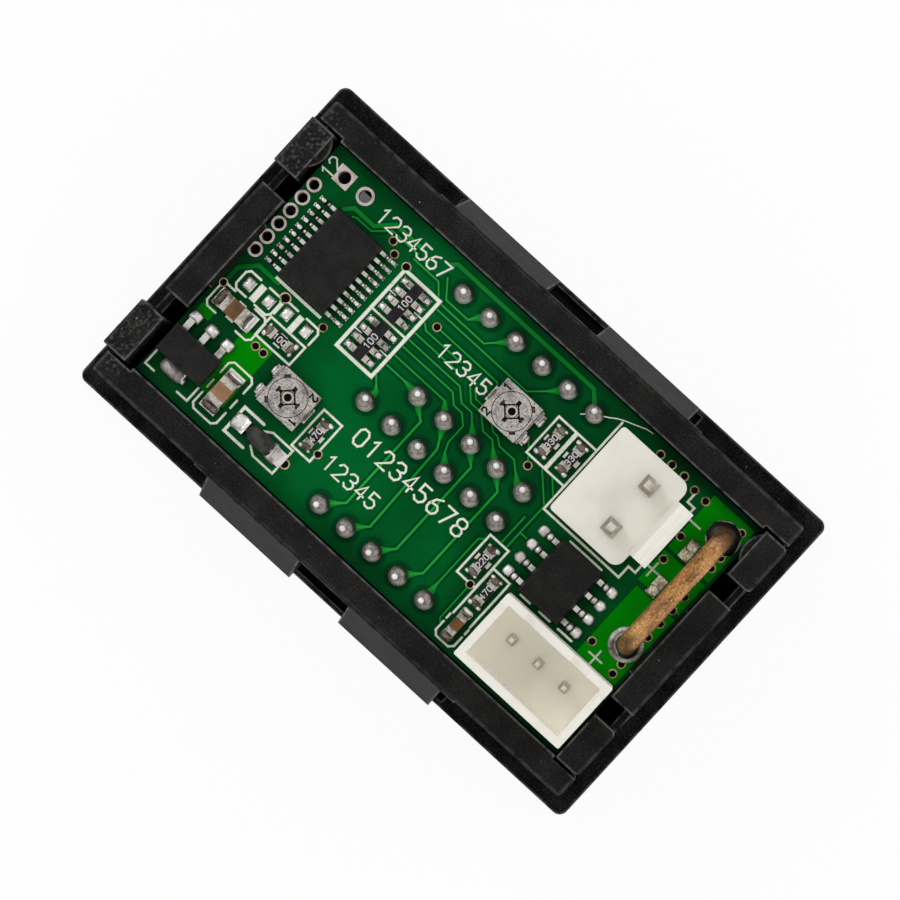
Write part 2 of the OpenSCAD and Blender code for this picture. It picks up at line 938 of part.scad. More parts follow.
// Solder that rings each leg of the shunt on its pad.
module shunt_solder() {
    inner_r = shunt_d / 2 + pin_clearance;
    color([0.72, 0.7, 0.68])
        for (place = shunt_leg_places())
            on_board(place)
                difference() {
                    rotate_extrude()
                        polygon([
                            [0, 0],
                            [shunt_pool_d / 2, 0],
                            [shunt_pool_d / 2 - 0.06, 0.12],
                            [shunt_pool_d / 2 - 0.3, 0.2],
                            [inner_r + 0.12, 0.42],
                            [0, 0.42]
                        ]);
                    translate([0, 0, -cut])
                        cylinder(h = 2 * cut, r = inner_r);
                }
}

module sense_solder() {
    color([0.75, 0.73, 0.7])
        for (place = sense_places)
            on_board(place)
                intersection() {
                    along_x(0.95)
                        polygon([
                            [-0.85, 0],
                            [0.85, 0],
                            [0.78, 0.22],
                            [0.3, 0.34],
                            [-0.35, 0.3],
                            [-0.8, 0.18]
                        ]);
                    along_y(1.7)
                        polygon([
                            [-0.47, 0],
                            [0.47, 0],
                            [0.4, 0.24],
                            [-0.05, 0.36],
                            [-0.42, 0.2]
                        ]);
                }
}

// ---------- headers ----------

module square_pin(thickness, below, above) {
    tip = thickness * 0.5;
    translate([0, 0, -below])
        linear_extrude(below + above - tip)
            square(thickness, center = true);
    translate([0, 0, above - tip])
        intersection() {
            along_x(thickness)
                polygon([
                    [-thickness / 2, 0],
                    [thickness / 2, 0],
                    [thickness / 4, tip],
                    [-thickness / 4, tip]
                ]);
            along_y(thickness)
                polygon([
                    [-thickness / 2, 0],
                    [thickness / 2, 0],
                    [thickness / 4, tip],
                    [-thickness / 4, tip]
                ]);
        }
}

// The latch wall stands on a stepped foot beside the base and hooks over it.
module power_latch() {
    foot_x = power_width / 2 - 0.25;
    outer_x = foot_x + 1.66;
    along_y(power_latch_width)
        polygon([
            [foot_x - 0.4, 0],
            [outer_x, 0],
            [outer_x, power_latch_height - 0.3],
            [outer_x - 0.3, power_latch_height],
            [outer_x - 0.55, power_latch_height],
            [outer_x - 0.62, power_latch_height - 0.12],
            [outer_x - 0.7, power_latch_height],
            [foot_x + 0.5, power_latch_height],
            [foot_x + 0.1, power_latch_height - 1.2],
            [foot_x + 0.5, power_latch_height - 1.9],
            [foot_x + 0.5, power_base + 0.5],
            [foot_x, power_base],
            [foot_x - 0.4, power_base]
        ]);
}

module power_header_housing() {
    color([0.93, 0.92, 0.89])
        on_board(power_place)
            difference() {
                union() {
                    rounded_plate(power_width - 1, power_length, power_base, 0.3);
                    translate([-0.5, 0, 0])
                        rounded_plate(power_width - 1, power_length, power_base, 0.3);
                    translate([0.5, 0, 0])
                        rounded_plate(power_width - 1, power_length, power_base, 0.8);
                    power_latch();
                }
                for (s = [-1, 1])
                    translate([power_pins_x - power_place[0], s * power_pin_pitch / 2, power_base / 2])
                        cube([power_pin, power_pin, power_base + 2 * cut], center = true);
            }
}

module power_header_pins() {
    color([0.85, 0.84, 0.8])
        for (place = power_pin_places())
            on_board(place)
                square_pin(power_pin, board_thickness + tail_length, power_pin_height);
}

// An open box with two notches in its +Y wall and one in each end wall.
module signal_header_housing() {
    half_x = signal_length / 2;
    half_y = signal_width / 2;
    notch_z = signal_height - signal_notch;
    notch_x = 2.2;
    notch_width = 1.45;
    end_notch_low = 0.85;
    end_notch_high = 1.95;
    color([0.94, 0.93, 0.9])
        on_board(signal_place)
            difference() {
                rounded_plate(signal_length, signal_width, signal_height, signal_corner_r);
                span(
                    [-half_x + signal_wall, -half_y + signal_wall, signal_floor],
                    [half_x - signal_wall, half_y - signal_wall, signal_height + cut]
                );
                for (s = [-1, 1])
                    span(
                        [s * notch_x - notch_width / 2, half_y - signal_wall - cut, notch_z],
                        [s * notch_x + notch_width / 2, half_y + cut, signal_height + cut]
                    );
                both_ends()
                    span(
                        [half_x - signal_wall - cut, end_notch_low, notch_z],
                        [half_x + cut, end_notch_high, signal_height + cut]
                    );
                for (place = signal_pin_places())
                    translate([place[0] - signal_place[0], place[1] - signal_place[1], signal_floor / 2])
                        cube([signal_pin, signal_pin, signal_floor + 2 * cut], center = true);
            }
}

module signal_header_pins() {
    color([0.88, 0.86, 0.8])
        for (place = signal_pin_places())
            on_board(place)
                square_pin(signal_pin, board_thickness + tail_length, signal_pin_height);
}

// Solder on the front side of the board round the header tails and the shunt's legs.
module header_joints() {
    color([0.72, 0.72, 0.7])
        translate([0, 0, board_front_z])
            mirror([0, 0, 1]) {
                for (place = power_pin_places())
                    translate(place)
                        difference() {
                            solder_cone(power_joint_d, power_joint_height);
                            cube([power_pin, power_pin, 2 * tail_length + cut], center = true);
                        }
                for (place = signal_pin_places())
                    translate(place)
                        difference() {
                            solder_cone(signal_joint_d, signal_joint_height);
                            cube([signal_pin, signal_pin, 2 * tail_length + cut], center = true);
                        }
                for (place = shunt_leg_places())
                    translate(place)
                        difference() {
                            solder_cone(shunt_joint_d, shunt_joint_height);
                            cylinder(h = 2 * tail_length, r = shunt_d / 2 + pin_clearance, center = true);
                        }
            }
}

// ---------- chips ----------

// The leads on both sides of a package, each with the width, reach, knee and height given.
module lead_rows(count, pitch, half_body, lead) {
    for (side = [0, 1])
        mirror([side, 0, 0])
            for (i = [0:count - 1])
                translate([half_body, (i - (count - 1) / 2) * pitch, 0])
                    gull_lead(lead[0], lead[1], lead[2], lead[3], lead_thickness);
}

module controller_package() {
    color([0.13, 0.13, 0.13])
        on_board(controller_place)
            moulded_package(controller_length, controller_width, chip_height - 0.1, 0.1, 0.12);
}

module controller_leads() {
    color([0.8, 0.79, 0.77])
        on_board(controller_place)
            lead_rows(10, controller_pitch, controller_width / 2, controller_lead);
}

module amplifier_package() {
    color([0.13, 0.13, 0.13])
        on_board(amplifier_place)
            moulded_package(amplifier_length, amplifier_width, chip_height - 0.1, 0.1, 0.18);
}

module amplifier_leads() {
    color([0.8, 0.79, 0.77])
        on_board(amplifier_place)
            lead_rows(4, amplifier_pitch, amplifier_width / 2, amplifier_lead);
}

module regulator_package() {
    color([0.14, 0.14, 0.14])
        on_board(regulator_place)
            moulded_package(regulator_width, regulator_length, regulator_height, 0, 0.08);
}

// Three flat leads on one side and the heat tab on the other.
module regulator_leads() {
    half_width = regulator_width / 2;
    tab_x = regulator_tab_r - 0.1;
    color([0.78, 0.77, 0.75])
        on_board(regulator_place) {
            for (i = [-1:1])
                translate([i * regulator_pitch, half_width + regulator_lead[1] / 2, regulator_lead[2] / 2])
                    cube(regulator_lead, center = true);
            intersection() {
                translate([0, -half_width, 0])
                    cylinder(h = regulator_lead[2], r = regulator_tab_r);
                span([-tab_x, -half_width - tab_x, 0], [tab_x, -half_width, regulator_lead[2]]);
            }
        }
}

module resistor_array(place) {
    color([0.2, 0.19, 0.2])
        on_board(place)
            translate([0, 0, array_height / 2])
                cube([array_width - 2 * array_end[0], array_length, array_height], center = true);
}

module resistor_array_ends(place) {
    color([0.8, 0.78, 0.75])
        on_board(place)
            both_ends()
                for (i = [-1.5:1.5])
                    translate([(array_width - array_end[0]) / 2, i * array_pitch, array_height / 2])
                        cube([array_end[0], array_end[1], array_height], center = true);
}

module turned_chip(place) {
    on_board(place)
        rotate(place[2])
            children();
}

module chip_resistor(place) {
    color([0.12, 0.12, 0.13])
        turned_chip(place)
            translate([0, 0, resistor_height / 2])
                cube([resistor_length - 2 * resistor_cap, resistor_width, resistor_height], center = true);
}

module chip_resistor_ends(place) {
    color([0.82, 0.81, 0.78])
        turned_chip(place)
            both_ends()
                translate([(resistor_length - resistor_cap) / 2, 0, resistor_height / 2])
                    cube([resistor_cap, resistor_width, resistor_height], center = true);
}

function capacitor_cap(place) = place[3] * 0.24;

module chip_capacitor(place) {
    color([0.6, 0.45, 0.28])
        turned_chip(place)
            translate([0, 0, place[5] / 2])
                cube([place[3] - 2 * capacitor_cap(place), place[4], place[5]], center = true);
}

module chip_capacitor_ends(place) {
    color([0.82, 0.81, 0.78])
        turned_chip(place)
            both_ends()
                translate([place[3] / 2 - capacitor_cap(place), -place[4] / 2, 0])
                    cube([capacitor_cap(place), place[4], place[5]]);
}

module diode_package() {
    color([0.17, 0.17, 0.17])
        on_board(diode_place)
            moulded_package(diode_width, diode_length, diode_height, 0.05, 0.1);
}

module diode_leads() {
    color([0.75, 0.74, 0.72])
        on_board(diode_place)
            both_ends()
                translate([diode_length / 2, 0, 0])
                    gull_lead(0.32, diode_lead, 0.16, 0.47, 0.1);
}

// Solder on the pads of every surface part.
module pad_solder() {
    color([0.78, 0.77, 0.76]) {
        for (place = resistor_places)
            turned_chip(place)
                both_ends()
                    translate([resistor_length / 2, 0, 0])
                        solder_ramp(0.55, 0.82, 0.36);
        for (place = capacitor_places)
            turned_chip(place)
                both_ends()
                    translate([place[3] / 2, 0, 0])
                        solder_ramp(place[4] * 0.6, place[4] + 0.1, place[5] * 0.6);
        on_board(diode_place)
            both_ends()
                translate([diode_length / 2 + diode_lead, 0, 0])
                    solder_ramp(1, 1.15, 0.42);
        for (place = array_places)
            on_board(place)
                both_ends()
                    for (i = [-1.5:1.5])
                        translate([array_width / 2, i * array_pitch, 0])
                            solder_ramp(0.55, 0.5, 0.3);
        on_board(controller_place)
            both_ends()
                for (i = [-4.5:4.5])
                    translate([controller_width / 2 + controller_lead[1], i * controller_pitch, 0])
                        solder_ramp(0.45, 0.32, 0.16);
        on_board(amplifier_place)
            both_ends()
                for (i = [-1.5:1.5])
                    translate([amplifier_width / 2 + amplifier_lead[1], i * amplifier_pitch, 0])
                        solder_ramp(0.5, 0.72, 0.22);
        on_board(regulator_place)
            for (i = [-1:1])
                translate([i * regulator_pitch, regulator_width / 2 + regulator_lead[1], 0])
                    rotate(90)
                        solder_ramp(0.5, 0.85, 0.3);
        for (place = spare_pad_places)
            on_board(place)
                both_ends()
                    translate([spare_pad_gap / 2, 0, 0])
                        intersection() {
                            translate([0, -spare_pad[1] / 2, 0])
                                cube(spare_pad);
                            translate([spare_pad[0] / 2, 0, -1])
                                sphere(r = 1.2);
                        }
    }
}

// ---------- trimmers ----------

// A tray with a round well for the rotor and a lower step at its +X end.
module trimmer_frame() {
    half_y = trimmer_width / 2;
    step_x = trimmer_right - 0.25;
    step_inset = 0.1;
    groove = [0.5, 0.45];
    groove_turn = 47;
    end_notch_x = trimmer_right - 0.15;
    difference() {
        union() {
            span([trimmer_left, -half_y, 0], [step_x, half_y, trimmer_floor + rotor_thickness + rotor_lift]);
            span([step_x, -half_y + step_inset, 0], [trimmer_right, half_y - step_inset, trimmer_floor]);
        }
        translate([0, 0, trimmer_floor])
            cylinder(h = rotor_thickness + cut, r = rotor_d / 2 + rotor_gap);
        for (s = [-1, 1])
            rotate(s * groove_turn)
                translate([rotor_d / 2, 0, trimmer_floor])
                    translate([-groove[0] / 2, -groove[1] / 2, 0])
                        cube([groove[0], groove[1], rotor_thickness + cut]);
        span([end_notch_x, -0.35, -cut], [trimmer_right + cut, 0.5, trimmer_floor + cut]);
    }
}

module trimmer_terminals() {
    tab = [0.2, 0.65, 0.55];
    foot_width = 0.85;
    foot_y = 0.92;
    span([trimmer_left - tab[0], -tab[1], 0], [trimmer_left, tab[1], tab[2]]);
    for (s = [-1, 1])
        translate([trimmer_right, s * foot_y, 0])
            along_y(foot_width)
                polygon([
                    [0, 0],
                    [0.35, 0],
                    [0.3, 0.2],
                    [0.14, 0.32],
                    [0.12, trimmer_floor],
                    [0, trimmer_floor]
                ]);
}

// A cross for the screwdriver round the square flange of the eyelet.
module rotor_slot() {
    flat = eyelet_d / 2 + eyelet_clearance;
    slot = [0.3, 1.9];
    cross = [1.84, 0.22];
    cross_end = [0.2, 0.46];
    rotate(45)
        square(2 * flat, center = true);
    square(slot, center = true);
    square(cross, center = true);
    both_ends()
        translate([cross[0] / 2, 0])
            square(cross_end, center = true);
}

module trimmer_rotor() {
    translate([0, 0, trimmer_floor + rotor_lift])
        linear_extrude(rotor_thickness)
            difference() {
                circle(rotor_d / 2);
                rotor_slot();
            }
}

module trimmer_eyelet() {
    top = rotor_thickness + 0.06;
    translate([0, 0, trimmer_floor])
        rotate_extrude()
            polygon([
                [eyelet_hole_d / 2, 0],
                [eyelet_d / 2, 0],
                [eyelet_d / 2, top - 0.1],
                [eyelet_d / 2 - 0.08, top],
                [eyelet_hole_d / 2 + 0.04, top],
                [eyelet_hole_d / 2, top - 0.04]
            ]);
}

// ---------- nodes ----------

housing();
display_window();
display_case(upper_y);  // upper_display_case
display_segments(upper_y);  // upper_display_segments
display_pins(upper_y, upper_lean);  // upper_display_pins
display_case(lower_row_y);  // lower_display_case
display_segments(lower_row_y);  // lower_display_segments
display_pins(lower_row_y, lower_lean);  // lower_display_pins
circuit_board();
plated_holes();
display_joints(upper_y, upper_lean, upper_pad_shift);  // upper_display_joints
display_joints(lower_row_y, lower_lean, lower_pad_shift);  // lower_display_joints
shunt_wire();
shunt_solder();
sense_solder();
power_header_housing();
power_header_pins();
signal_header_housing();
signal_header_pins();
header_joints();
controller_package();
controller_leads();
amplifier_package();
amplifier_leads();
regulator_package();
regulator_leads();
diode_package();
diode_leads();
pad_solder();
for (i = [0:1]) {
    resistor_array(array_places[i]);
    resistor_array_ends(array_places[i]);
}
for (i = [0:5]) {
    chip_resistor(resistor_places[i]);
    chip_resistor_ends(resistor_places[i]);
}
for (i = [0:2]) {
    chip_capacitor(capacitor_places[i]);
    chip_capacitor_ends(capacitor_places[i]);
}
for (i = [0:1]) {
    color([0.68, 0.67, 0.65]) turned_chip(trimmer_places[i]) trimmer_frame();
    color([0.8, 0.79, 0.77]) turned_chip(trimmer_places[i]) trimmer_terminals();
    color([0.72, 0.71, 0.69]) turned_chip(trimmer_places[i]) trimmer_rotor();
    color([0.85, 0.78, 0.6]) turned_chip(trimmer_places[i]) trimmer_eyelet();
}
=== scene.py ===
"""Looks of the two-row panel meter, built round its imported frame.

The frame gives every solid at its real size. This script gives each solid its finish, and adds
what only the eye needs: copper under the mask, ink, plated holes, solder fillets, plain numbers,
dust, the studio and the camera. Lengths are written in millimetres and built in metres.
"""

import logging
import math
from dataclasses import dataclass
from enum import Enum
from fnmatch import fnmatch
from random import Random
from typing import Dict, List, Optional, Sequence, Tuple, Union

import bmesh
import bpy
from mathutils import Matrix, Vector

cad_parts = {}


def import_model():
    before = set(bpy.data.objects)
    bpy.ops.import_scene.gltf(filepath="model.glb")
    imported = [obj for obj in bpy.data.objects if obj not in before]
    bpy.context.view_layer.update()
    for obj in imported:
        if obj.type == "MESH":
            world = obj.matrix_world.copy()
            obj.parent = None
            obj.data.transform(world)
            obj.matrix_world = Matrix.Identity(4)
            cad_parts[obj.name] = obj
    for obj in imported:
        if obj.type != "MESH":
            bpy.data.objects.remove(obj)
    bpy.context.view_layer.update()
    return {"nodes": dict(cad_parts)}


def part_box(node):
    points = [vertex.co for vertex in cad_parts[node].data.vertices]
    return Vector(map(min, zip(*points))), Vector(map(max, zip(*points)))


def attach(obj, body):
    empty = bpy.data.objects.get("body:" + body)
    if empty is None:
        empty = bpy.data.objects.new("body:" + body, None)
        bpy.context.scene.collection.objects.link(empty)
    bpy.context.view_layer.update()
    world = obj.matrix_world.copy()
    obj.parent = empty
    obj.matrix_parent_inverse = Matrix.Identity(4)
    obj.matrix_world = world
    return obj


LOG = logging.getLogger("panel_meter")
MM = 0.001
BODY = "meter"

Point = Tuple[float, float]
Path = Tuple[Point, ...]
Size = Tuple[float, float, float]
Colour = Tuple[float, float, float, float]


def tone(red: float, green: float, blue: float) -> Colour:
    """A colour given as it shows on a screen, 0 to 255, turned into linear light.

    Args:
        red: The red share.
        green: The green share.
        blue: The blue share.

    Returns:
        The linear colour with full cover.
    """

    def linear(value: float) -> float:
        """One share turned into linear light."""
        share = value / 255
        return share / 12.92 if share <= 0.04045 else ((share + 0.055) / 1.055) ** 2.4

    return (linear(red), linear(green), linear(blue), 1.0)


# ---------- node trees ----------


class Wire:
    """A socket that joins arithmetic, so that an expression on wires adds its Math nodes."""

    def __init__(self, recipe: "Recipe", socket: bpy.types.NodeSocket) -> None:
        """Keep the recipe that the socket belongs to."""
        self.recipe = recipe
        self.socket = socket

    def _math(self, operation: str, first: "Value", second: "Value") -> "Wire":
        """One Math node on two values."""
        return self.recipe.add("ShaderNodeMath", {"operation": operation}, {0: first, 1: second})

    def __add__(self, other: "Value") -> "Wire":
        """The sum."""
        return self._math("ADD", self, other)

    def __radd__(self, other: "Value") -> "Wire":
        """The sum, with the plain number first."""
        return self._math("ADD", other, self)

    def __sub__(self, other: "Value") -> "Wire":
        """The difference."""
        return self._math("SUBTRACT", self, other)

    def __rsub__(self, other: "Value") -> "Wire":
        """The difference, with the plain number first."""
        return self._math("SUBTRACT", other, self)

    def __mul__(self, other: "Value") -> "Wire":
        """The product."""
        return self._math("MULTIPLY", self, other)

    def __rmul__(self, other: "Value") -> "Wire":
        """The product, with the plain number first."""
        return self._math("MULTIPLY", other, self)

    def __truediv__(self, other: "Value") -> "Wire":
        """The quotient."""
        return self._math("DIVIDE", self, other)

    def __rtruediv__(self, other: "Value") -> "Wire":
        """The quotient, with the plain number first."""
        return self._math("DIVIDE", other, self)

    def __abs__(self) -> "Wire":
        """The size without its sign."""
        return self._math("ABSOLUTE", self, 0.0)

    def ramp(self, low: float, high: float) -> "Wire":
        """A smooth rise from 0 at low to 1 at high.

        Args:
            low: The value that gives 0.
            high: The value that gives 1, which may be the lower of the two.

        Returns:
            The share between them.
        """
        if low > high:
            return 1.0 - self.ramp(high, low)
        return self.recipe.add(
            "ShaderNodeMapRange",
            {"interpolation_type": "SMOOTHSTEP"},
            {"Value": self, "From Min": low, "From Max": high},
        )


Value = Union[float, Wire]
Tint = Union[Colour, Wire]


class Recipe:
    """One material and the nodes that make it."""

    def __init__(self, name: str) -> None:
        """Start an empty material.

        Args:
            name: The material's name.
        """
        self.material = bpy.data.materials.new(name)
        self.material.use_nodes = True
        self.tree = self.material.node_tree
        self.tree.nodes.clear()

    def add(
        self,
        kind: str,
        settings: Optional[Dict[str, object]] = None,
        sockets: Optional[Dict[Union[int, str], object]] = None,
        output: Union[int, str] = 0,
    ) -> Wire:
        """Add one node.

        Args:
            kind: The node's type.
            settings: Its own settings, which are set first.
            sockets: The values or links of its sockets, by name or place.
            output: The output to hand on.

        Returns:
            The chosen output.
        """
        node = self.tree.nodes.new(kind)
        for key, value in (settings or {}).items():
            setattr(node, key, value)
        for key, value in (sockets or {}).items():
            if isinstance(value, Wire):
                self.tree.links.new(value.socket, node.inputs[key])
            else:
                node.inputs[key].default_value = value
        return Wire(self, node.outputs[output] if len(node.outputs) else node.inputs[0])

    def place(self) -> Wire:
        """The place on the part, in millimetres."""
        found = self.add("ShaderNodeTexCoord", output="Object")
        return self.scaled(found, (1 / MM, 1 / MM, 1 / MM))

    def scaled(self, vector: Wire, factors: Size) -> Wire:
        """A vector with each of its three numbers multiplied."""
        return self.add("ShaderNodeVectorMath", {"operation": "MULTIPLY"}, {0: vector, 1: factors})

    def axes(self, vector: Wire) -> Tuple[Wire, Wire, Wire]:
        """The three numbers of a vector."""
        first = self.add("ShaderNodeSeparateXYZ", None, {0: vector})
        node = first.socket.node
        return first, Wire(self, node.outputs[1]), Wire(self, node.outputs[2])

    def noise(self, per_mm: float, detail: float = 2.0, stretch: Point = (1.0, 1.0)) -> Wire:
        """Cloudy noise.

        Args:
            per_mm: How many features lie along a millimetre.
            detail: How fine the noise goes.
            stretch: Factors on X and Y.

        Returns:
            The noise, about 0.5 on average.
        """
        where = self.scaled(self.place(), (stretch[0], stretch[1], 1.0))
        return self.add(
            "ShaderNodeTexNoise", None, {"Vector": where, "Scale": per_mm, "Detail": detail}
        )

    def specks(self, per_mm: float, size: float) -> Wire:
        """Scattered specks.

        Args:
            per_mm: How many cells lie along a millimetre.
            size: The largest share of a cell that a speck fills.

        Returns:
            1 on a speck and 0 between them.
        """
        cells = self.add("ShaderNodeTexVoronoi", None, {"Vector": self.place(), "Scale": per_mm})
        chance = self.add("ShaderNodeSeparateColor", None, {0: Wire(self, cells.socket.node.outputs[1])})
        reach = chance.ramp(0.8, 1.0) * size
        return (reach - cells).ramp(0.0, 0.08)

    def mix(self, share: Value, first: Tint, second: Tint) -> Wire:
        """The first colour at 0 and the second at 1."""
        return self.add(
            "ShaderNodeMix", {"data_type": "RGBA"}, {0: share, 6: first, 7: second}, output=2
        )

    def facing(self, axis: int) -> Wire:
        """How far the surface faces along an axis, from -1 to 1."""
        return self.axes(self.add("ShaderNodeNewGeometry", output="Normal"))[axis]

    def rounded(self, radius: float) -> Wire:
        """The normal of the surface with its edges rounded, by a radius in millimetres."""
        return self.add("ShaderNodeBevel", {"samples": 6}, {"Radius": radius * MM})

    def edges(self, reach: float) -> Wire:
        """1 on outward edges and 0 away from them, by a reach in millimetres."""
        inside = self.add(
            "ShaderNodeAmbientOcclusion",
            {"inside": True, "samples": 6},
            {"Distance": reach * MM},
            output="AO",
        )
        return 1.0 - inside

    def hollows(self, reach: float) -> Wire:
        """1 deep in corners and 0 in the open, by a reach in millimetres."""
        outside = self.add(
            "ShaderNodeAmbientOcclusion", {"samples": 6}, {"Distance": reach * MM}, output="AO"
        )
        return 1.0 - outside

    def bump(self, height: Wire, depth: float, normal: Optional[Wire] = None) -> Wire:
        """A raised surface.

        Args:
            height: The height, 0 to 1.
            depth: What a height of 1 stands for, in millimetres.
            normal: The normal that it is raised from.

        Returns:
            The new normal.
        """
        sockets: Dict[Union[int, str], object] = {"Height": height, "Distance": depth * MM}
        if normal is not None:
            sockets["Normal"] = normal
        return self.add("ShaderNodeBump", None, sockets)

    def shade(self, **sockets: object) -> bpy.types.Material:
        """Close the material with one Principled shader.

        Args:
            **sockets: Its sockets, with spaces written as underscores.

        Returns:
            The finished material.
        """
        named = {key.replace("_", " "): value for key, value in sockets.items()}
        shader = self.add("ShaderNodeBsdfPrincipled", None, named)
        self.add("ShaderNodeOutputMaterial", None, {"Surface": shader})
        return self.material


# ---------- finishes ----------


@dataclass(frozen=True)
class Finish:
    """A finish that is made once and then shared."""

    name: str

    def dress(self, recipe: Recipe) -> bpy.types.Material:
        """Make the material. Each finish has its own."""
        raise NotImplementedError

    def material(self) -> bpy.types.Material:
        """The finish's material, made when it is first asked for."""
        found = bpy.data.materials.get(self.name)
        return found if found else self.dress(Recipe(self.name))


@dataclass(frozen=True)
class CasePlastic(Finish):
    """Black moulded plastic: mottled, with painted shade low down, paler on edges from wear and a painted
    highlight, dusty, and scuffed on two fingers.
    """

    colour: Colour = tone(24, 24, 24)
    low_shade_colour: Colour = tone(7, 7, 8)
    paler: Colour = tone(44, 43, 42)
    worn: Colour = tone(120, 120, 120)
    scuffed: Colour = tone(84, 82, 79)
    dust: Colour = tone(190, 188, 182)
    low_shade_heights: Point = (3.0, 10.0)
    finger_x: float = -20.9
    finger_ys: Point = (6.4, 12.6)
    finger_heights: Point = (10.5, 12.5)

    def _fingers(self, across: Wire, along: Wire, height: Wire) -> Wire:
        """1 on the two scuffed fingers and 0 elsewhere."""
        inner, outer = self.finger_ys
        found = (self.finger_x - across).ramp(-0.3, 0.2) * abs(along).ramp(inner, inner + 0.5)
        return found * height.ramp(*self.finger_heights) * abs(along).ramp(outer, outer - 0.4)

    def dress(self, recipe: Recipe) -> bpy.types.Material:
        """Make the material."""
        across, along, height = recipe.axes(recipe.place())
        cloud = recipe.noise(0.5, 3.0)
        mottle = recipe.noise(7.0, 3.0)
        # Painted shade: the case is darker low down, where the walls shade the flange.
        body = recipe.mix(height.ramp(*self.low_shade_heights), self.low_shade_colour, self.colour)
        body = recipe.mix((cloud * 0.4 + mottle * 0.6).ramp(0.38, 0.7), body, self.paler)
        fingers = self._fingers(across, along, height) * 0.85
        rough_skin = recipe.noise(3.6, 5.0)
        body = recipe.mix(rough_skin.ramp(0.5, 0.72) * fingers, body, self.scuffed)
        # Paler edges: partly wear and partly a painted highlight.
        edge = recipe.edges(0.2).ramp(0.05, 0.3) * recipe.noise(1.0, 4.0).ramp(0.3, 0.6)
        body = recipe.mix(edge * 0.68, body, self.worn)
        specks = recipe.specks(1.5, 0.1) * 0.8 + recipe.specks(4.0, 0.16) * 0.25
        body = recipe.mix(specks, body, self.dust)
        rough = 0.44 + mottle * 0.2 + specks * 0.3
        normal = recipe.bump(mottle + rough_skin * fingers * 6.0, 0.014, recipe.rounded(0.1))
        return recipe.shade(Base_Color=body, Roughness=rough, Normal=normal, Specular_IOR_Level=0.03)


@dataclass(frozen=True)
class WindowAcrylic(Finish):
    """Dark red-brown tinted acrylic, polished on both faces."""

    colour: Colour = tone(34, 12, 14)
    paler: Colour = tone(44, 18, 20)
    cover: float = 0.66

    def dress(self, recipe: Recipe) -> bpy.types.Material:
        """Make the material."""
        haze = recipe.noise(0.6, 2.0)
        body = recipe.mix(haze.ramp(0.3, 0.8), self.colour, self.paler)
        rough = 0.06 + haze * 0.05
        return recipe.shade(Base_Color=body, Roughness=rough, Alpha=self.cover, Coat_Weight=0.2)


@dataclass(frozen=True)
class MouldedResin(Finish):
    """Cast display plastic: the grey shell or the milky light bars."""

    colour: Colour = tone(150, 150, 148)
    roughness: float = 0.35
    darker: float = 0.82

    def dress(self, recipe: Recipe) -> bpy.types.Material:
        """Make the material."""
        cloud = recipe.noise(0.9, 3.0)
        dark = tuple(self.darker * share for share in self.colour[:3]) + (1.0,)
        body = recipe.mix(cloud.ramp(0.3, 0.7), dark, self.colour)
        normal = recipe.bump(recipe.noise(5.0), 0.004, recipe.rounded(0.06))
        return recipe.shade(Base_Color=body, Roughness=self.roughness + cloud * 0.1, Normal=normal)


@dataclass(frozen=True)
class SolderMask(Finish):
    """Glossy green mask, over bare laminate or over copper, with the laminate on cut edges."""

    colour: Colour = tone(0, 62, 25)
    paler: Colour = tone(0, 96, 40)
    fleck: Colour = tone(0, 118, 56)
    shaded: Colour = tone(0, 34, 16)
    laminate: Colour = tone(120, 122, 78)
    weave_per_mm: float = 7.4
    shading: float = 1.0

    def _weave(self, recipe: Recipe, across: Wire, along: Wire) -> Wire:
        """The crossed threads of the laminate."""
        threads = [
            recipe.add("ShaderNodeMath", {"operation": "SINE"}, {0: axis * self.weave_per_mm})
            for axis in (across, along)
        ]
        return threads[0] * threads[1]

    @staticmethod
    def _lit_and_cloudy_areas(cloud: Wire, across: Wire, along: Wire) -> Wire:
        """Where the mask is paler: in clouds at random, and with painted light by the middle and along the
        last row of joints, less of it towards the controller's end.
        """
        light = cloud.ramp(0.3, 0.72) * 0.5 + across.ramp(1.5, -6.0) * 0.5
        light = light - (-10.0 - across).ramp(0.0, 4.0) * 0.45
        lower = along.ramp(-2.5, -6.0) * along.ramp(-10.0, -8.8) * abs(across).ramp(8.0, 5.0)
        return light + lower * 0.45

    @staticmethod
    def _shaded_ends(across: Wire, along: Wire) -> Wire:
        """Where the case shades the board: by the regulator, and beside the power header."""
        shade = (-17.0 - across).ramp(0.0, 3.5) * along.ramp(9.0, 3.0) * 0.6
        return shade + across.ramp(8.0, 13.0) * along.ramp(9.6, 10.4) * 0.7

    def dress(self, recipe: Recipe) -> bpy.types.Material:
        """Make the material."""
        cloud = recipe.noise(0.22, 3.0)
        fine = recipe.noise(3.5, 3.0)
        across, along, _ = recipe.axes(recipe.place())
        weave = self._weave(recipe, across, along)
        body = recipe.mix(self._lit_and_cloudy_areas(cloud, across, along), self.colour, self.paler)
        body = recipe.mix(fine.ramp(0.6, 0.8) * 0.25, body, self.fleck)
        shade = self._shaded_ends(across, along) + recipe.hollows(1.2).ramp(0.25, 0.8) * 0.5
        body = recipe.mix(shade * self.shading, body, self.shaded)
        body = recipe.mix(abs(recipe.facing(2)).ramp(0.1, 0.3), self.laminate, body)
        normal = recipe.bump(weave * 0.25 + fine * 0.75, 0.005)
        rough = 0.24 + fine * 0.16
        return recipe.shade(Base_Color=body, Roughness=rough, Normal=normal, Specular_IOR_Level=0.02)


